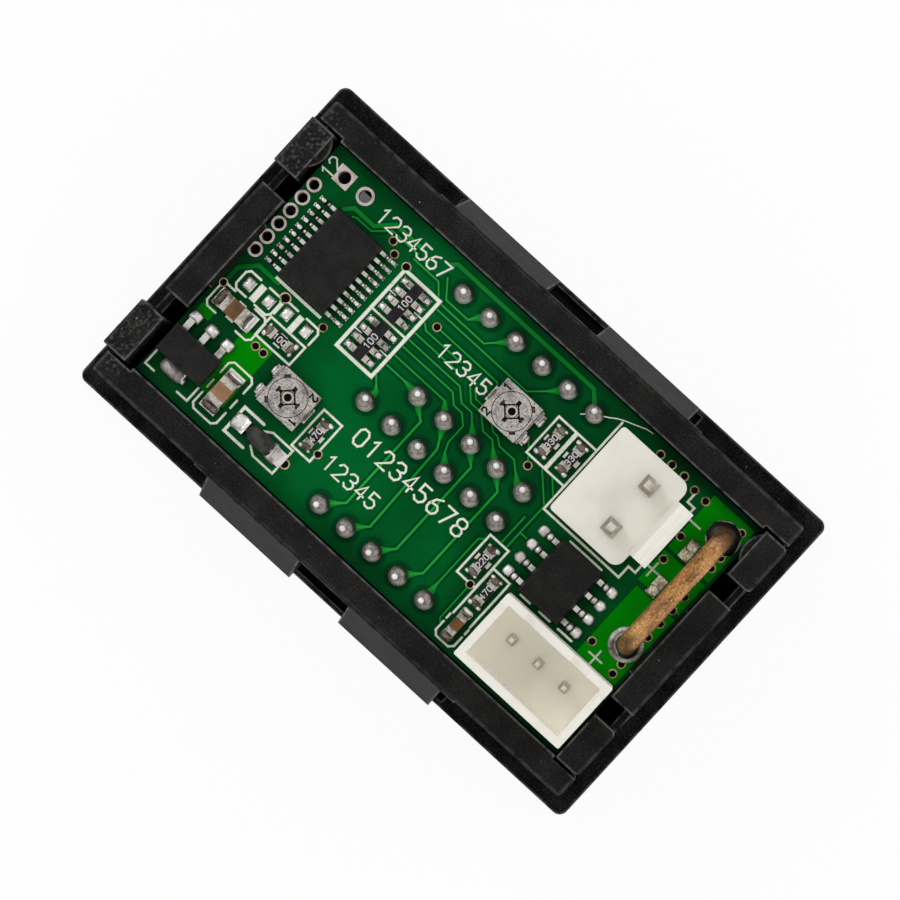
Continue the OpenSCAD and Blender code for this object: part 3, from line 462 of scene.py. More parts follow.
@dataclass(frozen=True)
class BareMetal(Finish):
    """Tinned, soldered or plated metal, with cloudy tarnish and a soft uneven surface.

    Its lumps are given as how many lie along a millimetre and how deep they are. Hollow reach is
    the reach of the darker colour in its hollows, steep is the share of painted shade on steep
    sides, and pitted is the share of dark in pits.
    """

    colour: Colour
    tarnish: Colour
    roughness: float
    lumps: Point = (2.2, 0.03)
    edge_radius: float = 0.05
    metallic: float = 0.5
    hollow_reach: float = 0.0
    steep: float = 0.0
    pitted: float = 0.0
    # The colours of the pits, of the darker hollows, and of the painted shade on steep sides.
    pit: Colour = tone(58, 52, 46)
    hollow_colour: Colour = tone(14, 13, 12)
    side: Colour = tone(34, 30, 27)

    def dress(self, recipe: Recipe) -> bpy.types.Material:
        """Make the material."""
        per_mm, depth = self.lumps
        cloud = recipe.noise(1.3, 4.0)
        lumps = recipe.noise(per_mm, 3.0)
        stain = cloud.ramp(0.42, 0.72)
        body = recipe.mix(stain, self.colour, self.tarnish)
        if self.pitted:
            pits = recipe.noise(8.0, 4.0).ramp(0.48, 0.66) * self.pitted
            body = recipe.mix(pits, body, self.pit)
        if self.hollow_reach:
            body = recipe.mix(recipe.hollows(self.hollow_reach).ramp(0.2, 0.6), body, self.hollow_colour)
        # Painted shade on the steep sides.
        if self.steep:
            sides = recipe.facing(2).ramp(0.85, 0.3) * self.steep
            body = recipe.mix(sides, body, self.side)
        rough = self.roughness + stain * 0.22 + lumps * 0.12
        normal = recipe.bump(lumps, depth, recipe.rounded(self.edge_radius))
        return recipe.shade(Base_Color=body, Roughness=rough, Metallic=self.metallic, Normal=normal)


@dataclass(frozen=True)
class JointSolder(Finish):
    """Round solder joints, with painted light on the side of the key light and painted shade on the far
    side.
    """

    colour: Colour = tone(158, 152, 146)
    dull: Colour = tone(112, 106, 100)
    bright: Colour = tone(214, 207, 200)
    dark: Colour = tone(44, 42, 38)
    to_light: Point = (0.76, -0.64)
    to_dark: Point = (0.35, 0.93)

    def dress(self, recipe: Recipe) -> bpy.types.Material:
        """Make the material."""
        across, along, up = recipe.axes(recipe.add("ShaderNodeNewGeometry", output="Normal"))
        steep = up.ramp(0.98, 0.7)
        cloud = recipe.noise(3.4, 4.0)
        light = across * self.to_light[0] + along * self.to_light[1]
        dark = across * self.to_dark[0] + along * self.to_dark[1]
        body = recipe.mix(cloud.ramp(0.35, 0.65), self.colour, self.dull)
        # Painted light on the side facing the key light, painted shade on the far side.
        body = recipe.mix(light.ramp(0.2, 0.85) * steep * 0.85, body, self.bright)
        body = recipe.mix(dark.ramp(0.05, 0.8) * steep * 0.9, body, self.dark)
        normal = recipe.bump(recipe.noise(3.2, 4.0), 0.06)
        return recipe.shade(Base_Color=body, Roughness=0.36 + cloud * 0.2, Metallic=0.45, Normal=normal)


@dataclass(frozen=True)
class ShuntMetal(Finish):
    """Bare copper alloy wire, drawn along its length, darker and greener towards its bends."""

    middle_y: float
    half_span: float
    colour: Colour = tone(208, 150, 88)
    dark: Colour = tone(126, 82, 42)
    green: Colour = tone(104, 92, 50)
    streak: Colour = tone(236, 190, 146)
    pit: Colour = tone(92, 58, 34)
    glint: Colour = tone(252, 216, 170)
    far_end: Colour = tone(84, 50, 30)
    bend: Colour = tone(60, 42, 28)

    def dress(self, recipe: Recipe) -> bpy.types.Material:
        """Make the material."""
        _, along, _ = recipe.axes(recipe.place())
        from_middle = (along - self.middle_y) / self.half_span
        bend = abs(from_middle).ramp(0.72, 1.0)
        cloud = recipe.noise(1.1, 4.0, (1.0, 0.5))
        streaks = recipe.noise(4.0, 3.0, (1.0, 0.08))
        body = recipe.mix(cloud.ramp(0.4, 0.7), self.colour, self.dark)
        body = recipe.mix(streaks.ramp(0.45, 0.75) * 0.4, body, self.streak)
        pits = recipe.noise(6.0, 4.0)
        body = recipe.mix(pits.ramp(0.52, 0.7) * 0.75, body, self.pit)
        # Painted glints between the pits.
        body = recipe.mix(pits.ramp(0.42, 0.3) * 0.7, body, self.glint)
        body = recipe.mix(from_middle.ramp(-0.35, -0.95) * cloud.ramp(0.3, 0.6) * 0.8, body, self.green)
        body = recipe.mix(from_middle.ramp(0.55, 0.95) * 0.6, body, self.far_end)
        body = recipe.mix(bend * 0.6, body, self.bend)
        rough = 0.36 + cloud * 0.18 + bend * 0.15
        normal = recipe.bump(streaks + cloud + pits, 0.03)
        return recipe.shade(Base_Color=body, Roughness=rough, Metallic=0.6, Normal=normal)


@dataclass(frozen=True)
class HeaderNylon(Finish):
    """Milky white nylon that lets a little light in, with a little painted shade and a painted glow deep
    in its hollows.
    """

    colour: Colour = tone(242, 238, 228)
    cloudy: Colour = tone(236, 232, 221)
    shaded: Colour = tone(233, 230, 219)
    painted_glow: Colour = tone(193, 190, 179)
    glow_off: Colour = tone(0, 0, 0)
    reach: float = 1.2

    def dress(self, recipe: Recipe) -> bpy.types.Material:
        """Make the material."""
        cloud = recipe.noise(0.5, 3.0)
        body = recipe.mix(cloud.ramp(0.35, 0.75), self.colour, self.cloudy)
        # Deep hollows get a little painted shade in the colour and a painted glow that lights them up.
        deep = recipe.hollows(4.0).ramp(0.15, 0.75)
        body = recipe.mix(deep * 0.4, body, self.shaded)
        painted_glow = recipe.mix(deep * (0.8 + cloud * 0.4), self.glow_off, self.painted_glow)
        normal = recipe.bump(recipe.noise(6.0), 0.005, recipe.rounded(0.1))
        return recipe.shade(
            Base_Color=body,
            Roughness=0.36 + cloud * 0.12,
            Normal=normal,
            Subsurface_Weight=0.4,
            Subsurface_Radius=(1.0, 0.97, 0.9),
            Subsurface_Scale=self.reach * MM,
            Emission_Color=painted_glow,
            Emission_Strength=0.28,
        )


@dataclass(frozen=True)
class PackageMoulding(Finish):
    """Near-black chip moulding with a fine matt grain."""

    colour: Colour = tone(17, 17, 17)
    paler: Colour = tone(30, 30, 29)
    grain_depth: float = 0.012
    worn: Colour = tone(84, 84, 82)
    fleck: Colour = tone(62, 60, 56)

    def dress(self, recipe: Recipe) -> bpy.types.Material:
        """Make the material."""
        cloud = recipe.noise(0.8, 3.0)
        body = recipe.mix(cloud.ramp(0.3, 0.75), self.colour, self.paler)
        body = recipe.mix(recipe.edges(0.09).ramp(0.2, 0.7) * 0.4, body, self.worn)
        body = recipe.mix(recipe.noise(7.0, 3.0).ramp(0.55, 0.75) * 0.5, body, self.fleck)
        normal = recipe.bump(recipe.noise(5.0, 4.0), self.grain_depth, recipe.rounded(0.06))
        rough = 0.5 + cloud * 0.15
        return recipe.shade(Base_Color=body, Roughness=rough, Normal=normal, Specular_IOR_Level=0.16)


@dataclass(frozen=True)
class ResistorGlaze(Finish):
    """Dark glaze on top of a white ceramic body, which shows on the sides."""

    glaze: Colour = tone(15, 14, 17)
    paler: Colour = tone(30, 29, 33)
    ceramic: Colour = tone(196, 194, 188)

    def dress(self, recipe: Recipe) -> bpy.types.Material:
        """Make the material."""
        cloud = recipe.noise(1.6, 3.0)
        glaze = recipe.mix(cloud.ramp(0.35, 0.7), self.glaze, self.paler)
        body = recipe.mix(recipe.facing(2).ramp(0.35, 0.65), self.ceramic, glaze)
        normal = recipe.bump(cloud, 0.02, recipe.rounded(0.07))
        rough = 0.4 + cloud * 0.15
        return recipe.shade(Base_Color=body, Roughness=rough, Normal=normal, Specular_IOR_Level=0.2)


@dataclass(frozen=True)
class CapacitorCeramic(Finish):
    """Brown sintered ceramic."""

    colour: Colour = tone(82, 52, 8)
    paler: Colour = tone(120, 80, 26)
    worn: Colour = tone(160, 126, 80)

    def dress(self, recipe: Recipe) -> bpy.types.Material:
        """Make the material."""
        cloud = recipe.noise(1.2, 4.0)
        body = recipe.mix(cloud.ramp(0.35, 0.7), self.colour, self.paler)
        body = recipe.mix(recipe.edges(0.12).ramp(0.2, 0.7) * 0.25, body, self.worn)
        normal = recipe.bump(recipe.noise(7.0, 3.0), 0.012, recipe.rounded(0.1))
        return recipe.shade(Base_Color=body, Roughness=0.42 + cloud * 0.15, Normal=normal)


@dataclass(frozen=True)
class Ink(Finish):
    """Printed ink, a little uneven."""

    colour: Colour
    thin: Colour

    def dress(self, recipe: Recipe) -> bpy.types.Material:
        """Make the material."""
        cloud = recipe.noise(2.4, 4.0)
        body = recipe.mix(cloud.ramp(0.5, 0.8), self.colour, self.thin)
        normal = recipe.bump(recipe.noise(9.0, 2.0), 0.006)
        return recipe.shade(Base_Color=body, Roughness=0.5 + cloud * 0.2, Normal=normal)


@dataclass(frozen=True)
class DeepHole(Finish):
    """Painted shade, such as the dark inside of a small hole; it also serves as dark print."""

    colour: Colour = tone(6, 6, 5)
    paler: Colour = tone(14, 12, 8)

    def dress(self, recipe: Recipe) -> bpy.types.Material:
        """Make the material."""
        cloud = recipe.noise(4.0, 2.0)
        body = recipe.mix(cloud, self.colour, self.paler)
        return recipe.shade(Base_Color=body, Roughness=0.6 + cloud * 0.2, Specular_IOR_Level=0.05)


CASE = CasePlastic("case_plastic")
WINDOW = WindowAcrylic("window_acrylic")
SHELL = MouldedResin("shell_resin")
BARS = MouldedResin("bar_resin", tone(214, 208, 196), 0.3)
MASK = SolderMask("mask_over_laminate")
MASK_IN_GAP = SolderMask("mask_in_gap", tone(0, 50, 23), tone(0, 76, 35))
MASK_ON_COPPER = SolderMask("mask_over_copper", tone(8, 142, 42), tone(46, 164, 62))
MASK_ON_WIDE = SolderMask("mask_over_wide_copper", tone(3, 118, 34), tone(26, 142, 52))
MASK_ON_POUR = SolderMask("mask_over_pour", tone(0, 122, 0), tone(0, 152, 5), shading=0.35)
TIN = BareMetal(
    "tinned_lead", tone(232, 230, 225), tone(160, 156, 150), 0.22, metallic=0.85, hollow_reach=0.12
)
SOLDER = BareMetal(
    "solder_joint", tone(240, 237, 232), tone(150, 144, 136), 0.2, (3.0, 0.06),
    metallic=0.6, hollow_reach=0.14, steep=0.85,
)
BALL = JointSolder("joint_solder")
# Painted highlight: the display pins' tips are near white and barely metallic, so they show as bright
# spots.
TIP = BareMetal("pin_tip", tone(250, 248, 244), tone(226, 222, 216), 0.3, (3.0, 0.02), metallic=0.2)
SENSE = BareMetal(
    "sense_solder", tone(244, 236, 210), tone(140, 116, 78), 0.2, (2.6, 0.16),
    metallic=0.6, hollow_reach=0.2, steep=0.7, pitted=0.6,
)
END_TIN = BareMetal(
    "end_cap_tin", tone(204, 196, 186), tone(96, 89, 80), 0.34, (3.0, 0.04), 0.06,
    metallic=0.4, hollow_reach=0.16, steep=0.7, pitted=0.5,
)
TRIMMER = BareMetal(
    "trimmer_plate", tone(194, 188, 182), tone(138, 133, 128), 0.42, (7.0, 0.06),
    metallic=0.35, hollow_reach=0.14, steep=0.8, pitted=0.7,
)
# Painted shade: darker metal laid in the trimmers' slots and grooves.
SHADED_SLOT_FLOOR = BareMetal(
    "slot_floor", tone(120, 108, 96), tone(72, 64, 56), 0.45, (6.0, 0.06), metallic=0.2
)
# Dull solder fillets: solder, painted dark brown for the dark reflection that they show.
FILLET = BareMetal(
    "chip_fillet", tone(132, 121, 110), tone(66, 58, 50), 0.26, (5.0, 0.12),
    steep=0.45, pitted=0.6,
)
# Painted highlights on the chips' solder.
FILLET_HIGHLIGHT = BareMetal(
    "fillet_spot", tone(252, 250, 246), tone(214, 208, 200), 0.24, (4.0, 0.05), metallic=0.25, steep=0.3
)
TOE_SOLDER = BareMetal(
    "toe_solder", tone(252, 250, 247), tone(198, 192, 186), 0.22, (3.0, 0.08),
    metallic=0.35, hollow_reach=0.1, steep=0.6,
)
TAB_SOLDER = BareMetal(
    "tab_solder", tone(176, 170, 164), tone(126, 119, 112), 0.36, (3.0, 0.05),
    metallic=0.4, steep=0.4, pitted=0.3,
)
EYELET = BareMetal(
    "eyelet_plate", tone(214, 202, 178), tone(130, 120, 98), 0.3, (4.0, 0.01), metallic=0.6
)
VIA = BareMetal("via_ring", tone(204, 182, 138), tone(96, 86, 48), 0.34, (5.0, 0.01), metallic=0.7)
RING = BareMetal(
    "hole_ring", tone(216, 202, 194), tone(176, 160, 150), 0.34, (4.0, 0.01), 0.03, metallic=0.6
)
POOL = BareMetal(
    "shunt_solder", tone(186, 182, 176), tone(92, 88, 82), 0.3, (3.4, 0.1),
    hollow_reach=0.15, steep=0.4,
)
FLUX = BareMetal("burnt_flux", tone(26, 22, 18), tone(9, 8, 7), 0.34, (2.4, 0.06), metallic=0.3)
PIN_METAL = BareMetal(
    "header_pin", tone(226, 218, 204), tone(182, 173, 158), 0.34, (2.4, 0.03), 0.08,
    metallic=0.7, hollow_reach=0.12, steep=0.3,
)
NYLON = HeaderNylon("header_nylon")
PACKAGE = PackageMoulding("chip_package")
DIODE = PackageMoulding("diode_package", tone(18, 18, 18), tone(74, 71, 68), 0.12)
GLAZE = ResistorGlaze("resistor_glaze")
CERAMIC = CapacitorCeramic("capacitor_ceramic")
PALE_CERAMIC = CapacitorCeramic("pale_capacitor_ceramic", tone(138, 98, 68), tone(164, 122, 88))
INK = Ink("board_ink", tone(238, 238, 224), tone(190, 206, 188))
WORN_INK = Ink("worn_board_ink", tone(196, 204, 186), tone(120, 168, 118))
CODE_INK = Ink("resistor_ink", tone(206, 206, 204), tone(150, 150, 150))
LINT = Ink("white_lint", tone(236, 236, 232), tone(214, 214, 208))
HOLE = DeepHole("hole_shadow")


# ---------- meshes ----------


def box_points(x0: float, y0: float, x1: float, y1: float) -> Path:
    """The corners of a rectangle, counter-clockwise."""
    return ((x0, y0), (x1, y0), (x1, y1), (x0, y1))


def circle(centre: Point, r: float, sides: int) -> Path:
    """Points round a circle, counter-clockwise."""
    turns = [2 * math.pi * i / sides for i in range(sides)]
    return tuple((centre[0] + r * math.cos(t), centre[1] + r * math.sin(t)) for t in turns)


def turned(centre: Point, turn: float, x: float, y: float) -> Point:
    """A place that is given from a centre, in directions that are turned.

    Args:
        centre: The centre.
        turn: The turn, in degrees.
        x: The distance along the turned X.
        y: The distance along the turned Y.

    Returns:
        The place on the board.
    """
    local = Matrix.Rotation(math.radians(turn), 2) @ Vector((x, y))
    return (centre[0] + local.x, centre[1] + local.y)


def chamfered(path: Path, cut: Point = (0.3, 0.3)) -> Path:
    """An open line with its right-angled corners cut off.

    Args:
        path: The line, with legs along X and Y.
        cut: How much is cut from a leg along X, and from one along Y.

    Returns:
        The line with two points for each corner.
    """
    made = [path[0]]
    for before, corner, after in zip(path, path[1:], path[2:]):
        for end in (before, after):
            x, y = (
                there + math.copysign(size, away - there) if away != there else there
                for there, away, size in zip(corner, end, cut)
            )
            made.append((x, y))
    return (*made, path[-1])


class NodeBox:
    """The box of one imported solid, in millimetres."""

    def __init__(self, node: str) -> None:
        """Measure the solid.

        Args:
            node: The solid's name.
        """
        self.low, self.high = ([value / MM for value in corner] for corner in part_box(node))
        self.size = tuple(high - low for low, high in zip(self.low, self.high))
        self.top = self.high[2]

    @property
    def middle(self) -> Point:
        """The middle, seen from above."""
        return ((self.low[0] + self.high[0]) / 2, (self.low[1] + self.high[1]) / 2)


@dataclass(frozen=True)
class Seat:
    """Where a chip sits on the board, to a hundredth of a millimetre."""

    middle: Point
    turn: float
    length: float
    width: float
    height: float

    @classmethod
    def of(cls, node: str) -> "Seat":
        """Measure a chip.

        Args:
            node: The chip's solid, or the solid of its end metal.

        Returns:
            Its seat, with the turn of its longer side in degrees.
        """
        box = NodeBox(node)
        x, y, along_x, along_y, height = (round(value, 2) for value in (*box.middle, *box.size))
        turn = 0.0 if along_x > along_y else 90.0
        return cls((x, y), turn, max(along_x, along_y), min(along_x, along_y), height)


class Outline:
    """The two sides of a line that is drawn with a width."""

    SHARPEST = 0.5

    def __init__(self, points: Sequence[Point], widths: Sequence[float], closed: bool) -> None:
        """Work out the sides with mitred corners.

        Args:
            points: The line's points.
            widths: Its width at each point.
            closed: Whether the last point joins the first.
        """
        self.left: List[Point] = []
        self.right: List[Point] = []
        count = len(points)
        for i, (x, y) in enumerate(points):
            before = points[i - 1] if closed or i > 0 else None
            after = points[(i + 1) % count] if closed or i < count - 1 else None
            first = self._direction(before, (x, y)) if before else self._direction((x, y), after)
            second = self._direction((x, y), after) if after else first
            along = (first + second).normalized() if (first + second).length > 1e-6 else second
            side = Vector((-along.y, along.x))
            stretch = 1 / max(self.SHARPEST, side.dot(Vector((-second.y, second.x))))
            half = widths[i] / 2 * stretch
            self.left.append((x + side.x * half, y + side.y * half))
            self.right.append((x - side.x * half, y - side.y * half))

    @staticmethod
    def _direction(start: Point, end: Point) -> Vector:
        """The unit direction from start to end."""
        return Vector((end[0] - start[0], end[1] - start[1])).normalized()


DIGIT_WIDTH = 0.6
# The strokes of each digit on a height of 1. A stroke that ends where it starts is closed.
DIGITS: Dict[str, Tuple[Path, ...]] = {
    "0": (
        ((0, 0.2), (0, 0.8), (0.15, 1), (0.45, 1), (0.6, 0.8), (0.6, 0.2), (0.45, 0), (0.15, 0), (0, 0.2)),
    ),
    "1": (((0.12, 0.8), (0.34, 1), (0.34, 0)),),
    "2": (((0, 0.8), (0.15, 1), (0.45, 1), (0.6, 0.8), (0.6, 0.6), (0, 0), (0.6, 0)),),
    "3": (
        ((0, 0.85), (0.15, 1), (0.45, 1), (0.6, 0.8), (0.6, 0.65), (0.42, 0.53), (0.22, 0.53)),
        ((0.42, 0.53), (0.6, 0.38), (0.6, 0.2), (0.45, 0), (0.15, 0), (0, 0.15)),
    ),
    "4": (((0.45, 0), (0.45, 1), (0, 0.3), (0.62, 0.3)),),
    "5": (
        ((0.56, 1), (0.05, 1), (0.05, 0.55), (0.4, 0.6), (0.6, 0.42))
        + ((0.6, 0.2), (0.42, 0), (0.15, 0), (0, 0.15)),
    ),
    "6": (
        ((0.52, 1), (0.18, 0.8), (0, 0.42), (0, 0.2), (0.15, 0))
        + ((0.45, 0), (0.6, 0.2), (0.6, 0.38), (0.45, 0.56), (0.05, 0.5)),
    ),
    "7": (((0, 1), (0.6, 1), (0.2, 0)),),
    "8": (
        ((0.15, 0.52), (0.02, 0.66), (0.02, 0.85), (0.15, 1))
        + ((0.45, 1), (0.58, 0.85), (0.58, 0.66), (0.45, 0.52), (0.15, 0.52)),
        ((0.15, 0.52), (0, 0.36), (0, 0.15), (0.15, 0))
        + ((0.45, 0), (0.6, 0.15), (0.6, 0.36), (0.45, 0.52), (0.15, 0.52)),
    ),
}


@dataclass(frozen=True)
class Number:
    """A row of plain digits.

    It starts at the lower left corner of its first digit. The turn is in degrees, and the pitch
    is the step from one digit to the next, as a share of the height.
    """

    text: str
    start: Point
    height: float
    pen: float
    turn: float = 0.0
    pitch: float = 0.95


class Draft:
    """A mesh that is drawn piece by piece, in millimetres."""

    # Each line lies a little higher than the last, so that no two tops are level where they cross.
    STEP = 0.0002
    EDGE = 0.04
    DOME = 0.01
    RING_SIDES = 28
    # A mound's sides and rings, how uneven its sides and rings are, and how far it leans.
    MOUND_SIDES = 16
    MOUND_RINGS = 5
    SIDE_RANGE = (0.9, 1.08)
    RING_RANGE = (0.97, 1.03)
    LEAN = 0.12
    FULLNESS = 0.9

    def __init__(self, name: str) -> None:
        """Start an empty draft.

        Args:
            name: The piece's name.
        """
        self.name = name
        self.bm = bmesh.new()
        self.lines = 0

    def _loop(self, points: Sequence[Point], z: float) -> List[bmesh.types.BMVert]:
        """A ring of new vertices at one height."""
        return [self.bm.verts.new((x * MM, y * MM, z * MM)) for x, y in points]

    def _bridge(self, low: List[bmesh.types.BMVert], high: List[bmesh.types.BMVert]) -> None:
        """Quads between two rings of the same count."""
        count = len(low)
        for i in range(count):
            j = (i + 1) % count
            self.bm.faces.new((low[i], low[j], high[j], high[i]))

    def slab(self, points: Sequence[Point], low: float, high: float, bevel: float = 0.0) -> None:
        """A closed flat piece with an outline.

        Args:
            points: The outline, counter-clockwise.
            low: Its lower height.
            high: Its upper height.
            bevel: How far the upper face is drawn in.
        """
        base = self._loop(points, low)
        drawn_in = Outline(points, [2 * bevel] * len(points), True).left if bevel else points
        top = self._loop(drawn_in, high)
        self._bridge(base, top)
        self.bm.faces.new(top)
        self.bm.faces.new(list(reversed(base)))

    def line(
        self,
        points: Sequence[Point],
        width: Union[float, Sequence[float]],
        low: float,
        high: float,
        closed: bool = False,
    ) -> None:
        """A raised line with round ends.

        Args:
            points: The line's points.
            width: One width, or one for each point.
            low: The height that it lies on.
            high: The height of its top.
            closed: Whether the last point joins the first.
        """
        widths = [float(width)] * len(points) if isinstance(width, (int, float)) else list(width)
        bevel = min(self.EDGE, min(widths) * 0.2)
        high += self.STEP * self.lines
        self.lines += 1
        levels = ((low, 0.0), (high, bevel))
        rings = []
        for height, inset in levels:
            sides = Outline(points, [w - 2 * inset for w in widths], closed)
            rings.append((self._loop(sides.left, height), self._loop(sides.right, height)))
        (base_left, base_right), (top_left, top_right) = rings
        count = len(points)
        for i in range(count if closed else count - 1):
            j = (i + 1) % count
            self.bm.faces.new((top_left[i], top_right[i], top_right[j], top_left[j]))
            self.bm.faces.new((base_left[j], base_right[j], base_right[i], base_left[i]))
            self.bm.faces.new((base_left[i], top_left[i], top_left[j], base_left[j]))
            self.bm.faces.new((base_right[j], top_right[j], top_right[i], base_right[i]))
        if closed:
            return
        for inner, end, at, first in ((points[1], points[0], 0, 0), (points[-2], points[-1], -1, 1)):
            arcs = []
            for (height, inset), sides in zip(levels, rings):
                arc = self._loop(self._cap(inner, end, widths[at] / 2 - inset), height)
                arcs.append([sides[first][at]] + arc + [sides[1 - first][at]])
            low_arc, high_arc = arcs
            for k in range(len(low_arc) - 1):
                self.bm.faces.new((low_arc[k], low_arc[k + 1], high_arc[k + 1], high_arc[k]))
            self.bm.faces.new(high_arc)
            self.bm.faces.new(list(reversed(low_arc)))

    @staticmethod
    def _cap(inner: Point, end: Point, half: float, steps: int = 5) -> List[Point]:
        """The round end of a line, from its left side to its right side as seen from inside."""
        heading = math.atan2(end[1] - inner[1], end[0] - inner[0])
        turns = [heading - math.pi / 2 + math.pi * i / (steps + 1) for i in range(1, steps + 1)]
        return [(end[0] + half * math.cos(turn), end[1] + half * math.sin(turn)) for turn in turns]

    def disc(self, centre: Point, r: float, low: float, high: float, sides: int = 24) -> None:
        """A closed disc."""
        self.slab(circle(centre, r, sides), low, high)

    def ring(self, centre: Point, inner: float, outer: float, low: float, high: float) -> None:
        """A closed ring with a softly domed top.

        Args:
            centre: Its middle.
            inner: The radius of its hole.
            outer: The radius of its rim.
            low: Its lower height.
            high: The height of its dome.
        """
        profile = (
            (inner, low),
            (inner, high - self.DOME),
            ((inner + outer) / 2, high),
            (outer - self.EDGE, high - self.DOME),
            (outer, low),
        )
        loops = [self._loop(circle(centre, r, self.RING_SIDES), z) for r, z in profile]
        for first, second in zip(loops, loops[1:] + loops[:1]):
            self._bridge(second, first)

    def mound(
        self,
        centre: Point,
        size: Size,
        low: float,
        seed: int,
        turn: float = 0.0,
        square: float = 2.6,
    ) -> None:
        """An uneven rounded mound, such as a solder fillet.

        Args:
            centre: The middle of its foot.
            size: Its length, width and height.
            low: The height that it stands on.
            seed: The seed of its unevenness.
            turn: Its turn, in degrees.
            square: How square its outline is, 2 for an ellipse.
        """
        random = Random(seed)
        sides, rings = self.MOUND_SIDES, self.MOUND_RINGS
        lumps = [random.uniform(*self.SIDE_RANGE) for _ in range(sides)]
        lean = [random.uniform(-self.LEAN, self.LEAN) for _ in range(2)]
        loops = []
        for ring in range(rings):
            rise = ring / rings
            shrink = math.cos(math.asin(rise)) ** self.FULLNESS
            points = []
            for i, (c, s) in enumerate(circle((0, 0), 1, sides)):
                reach = (abs(c) ** square + abs(s) ** square) ** (-1 / square)
                spread = reach * shrink * (1 + (lumps[i] - 1) * (1 - rise * 0.5))
                x = size[0] / 2 * (c * spread + lean[0] * rise)
                y = size[1] / 2 * (s * spread + lean[1] * rise)
                points.append(turned(centre, turn, x, y))
            height = size[2] * rise * random.uniform(*self.RING_RANGE)
            loops.append(self._loop(points, low + height))
        for first, second in zip(loops, loops[1:]):
            self._bridge(first, second)
        tip = turned(centre, turn, size[0] / 2 * lean[0], size[1] / 2 * lean[1])
        top = self._loop([tip], low + size[2])[0]
        for here, after in zip(loops[-1], loops[-1][1:] + loops[-1][:1]):
            self.bm.faces.new((here, after, top))
        self.bm.faces.new(list(reversed(loops[0])))

    def tube(self, points: Sequence[Size], r: float, sides: int = 6) -> None:
        """A thin closed tube along a path.

        Args:
            points: The path's places, with their heights.
            r: The tube's radius.
            sides: How many sides it has.
        """
        loops = []
        for i, here in enumerate(points):
            start = Vector(points[max(0, i - 1)])
            end = Vector(points[min(len(points) - 1, i + 1)])
            along = (end - start).normalized()
            across = along.cross(Vector((0, 0, 1))).normalized()
            up = across.cross(along)
            rim = [Vector(here) + across * x + up * y for x, y in circle((0, 0), r, sides)]
            loops.append([self.bm.verts.new(place * MM) for place in rim])
        for first, second in zip(loops, loops[1:]):
            self._bridge(first, second)
        self.bm.faces.new(list(reversed(loops[0])))
        self.bm.faces.new(loops[-1])

    def number(self, number: Number, low: float, high: float) -> None:
        """A row of plain digits.

        Args:
            number: The digits, their place and their pen.
            low: The height that they lie on.
            high: The height of their top.
        """
        for i, digit in enumerate(number.text):
            for stroke in DIGITS[digit]:
                closed = stroke[0] == stroke[-1]
                path = stroke[:-1] if closed else stroke
                local = [((x + i * number.pitch) * number.height, y * number.height) for x, y in path]
                placed = [turned(number.start, number.turn, x, y) for x, y in local]
                self.line(placed, number.pen, low, high, closed)

    def finish(
        self,
        finish: Finish,
        body: str = BODY,
        slot: Optional[str] = None,
        smooth: bool = False,
    ) -> None:
        """Turn the draft into a piece that rides on a body.

        Args:
            finish: The finish that it wears.
            body: The body that it rides on.
            slot: Not used.
            smooth: Whether it is shaded smooth.
        """
        bmesh.ops.recalc_face_normals(self.bm, faces=self.bm.faces)
        mesh = bpy.data.meshes.new(self.name)
        self.bm.to_mesh(mesh)
        self.bm.free()
        mesh.materials.append(finish.material())
        for polygon in mesh.polygons:
            polygon.use_smooth = smooth
        piece = bpy.data.objects.new(self.name, mesh)
        bpy.context.scene.collection.objects.link(piece)
        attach(piece, body)
        LOG.info("piece %s: %d faces", self.name, len(mesh.polygons))


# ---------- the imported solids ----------


# The finish of each node. The first pattern that fits its name counts.
NODE_FINISHES: Tuple[Tuple[str, Finish], ...] = (
    ("housing", CASE),
    ("display_window", WINDOW),
    ("circuit_board", MASK),
    ("plated_holes", RING),
    ("shunt_solder", POOL),
    ("sense_solder", SENSE),
    ("diode_package", DIODE),
    ("*_display_case", SHELL),
    ("*_display_segments", BARS),
    ("*_display_joints", BALL),
    ("*_display_pins", TIP),
    ("*_header_pins", PIN_METAL),
    ("*_header_housing", NYLON),
    ("*_package", PACKAGE),
    ("*_ends", END_TIN),
    ("*_leads", TIN),
    ("*_terminals", TIN),
    ("*_eyelet", EYELET),
    ("*trimmer*", TRIMMER),
    ("*resistor*", GLAZE),
    ("*capacitor_2", PALE_CERAMIC),
    ("*capacitor*", CERAMIC),
    ("*", SOLDER),
)


@dataclass(frozen=True)
class SolidFinishes:
    """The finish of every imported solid."""

    nodes: Dict[str, bpy.types.Object]

    @staticmethod
    def _finish_of(node: str) -> Finish:
        """The finish that goes on a node."""
        if node == "shunt_wire":
            wire = NodeBox(node)
            return ShuntMetal("shunt_copper", wire.middle[1], wire.size[1] / 2)
        return next(finish for pattern, finish in NODE_FINISHES if fnmatch(node, pattern))

    def dress(self) -> None:
        """Give every node its finish."""
        for node, solid in self.nodes.items():
            finish = self._finish_of(node)
            mesh = solid.data
            mesh.materials.clear()
            mesh.materials.append(finish.material())
            LOG.info("node %s wears %s", node, finish.name)


# ---------- the board's artwork ----------


TRACE = 0.14
COLUMN_TRACE = 0.2
WIDE_TRACE = 0.36
SOFT_EDGE = 0.03
PAD_CUT: Point = (0.25, 0.3)
# The places of the displays' joints along the board.
JOINT_XS = (-6.65, -4.1, -1.55, 0.95, 3.5, 6.05)
# The height of each row of joints, and the first of its joints.
JOINT_ROWS = ((8.95, 0), (1.3, 1), (-1.5, 0), (-9.1, 1))
JOINTS: Path = tuple((x, y) for y, first in JOINT_ROWS for x in JOINT_XS[first:])


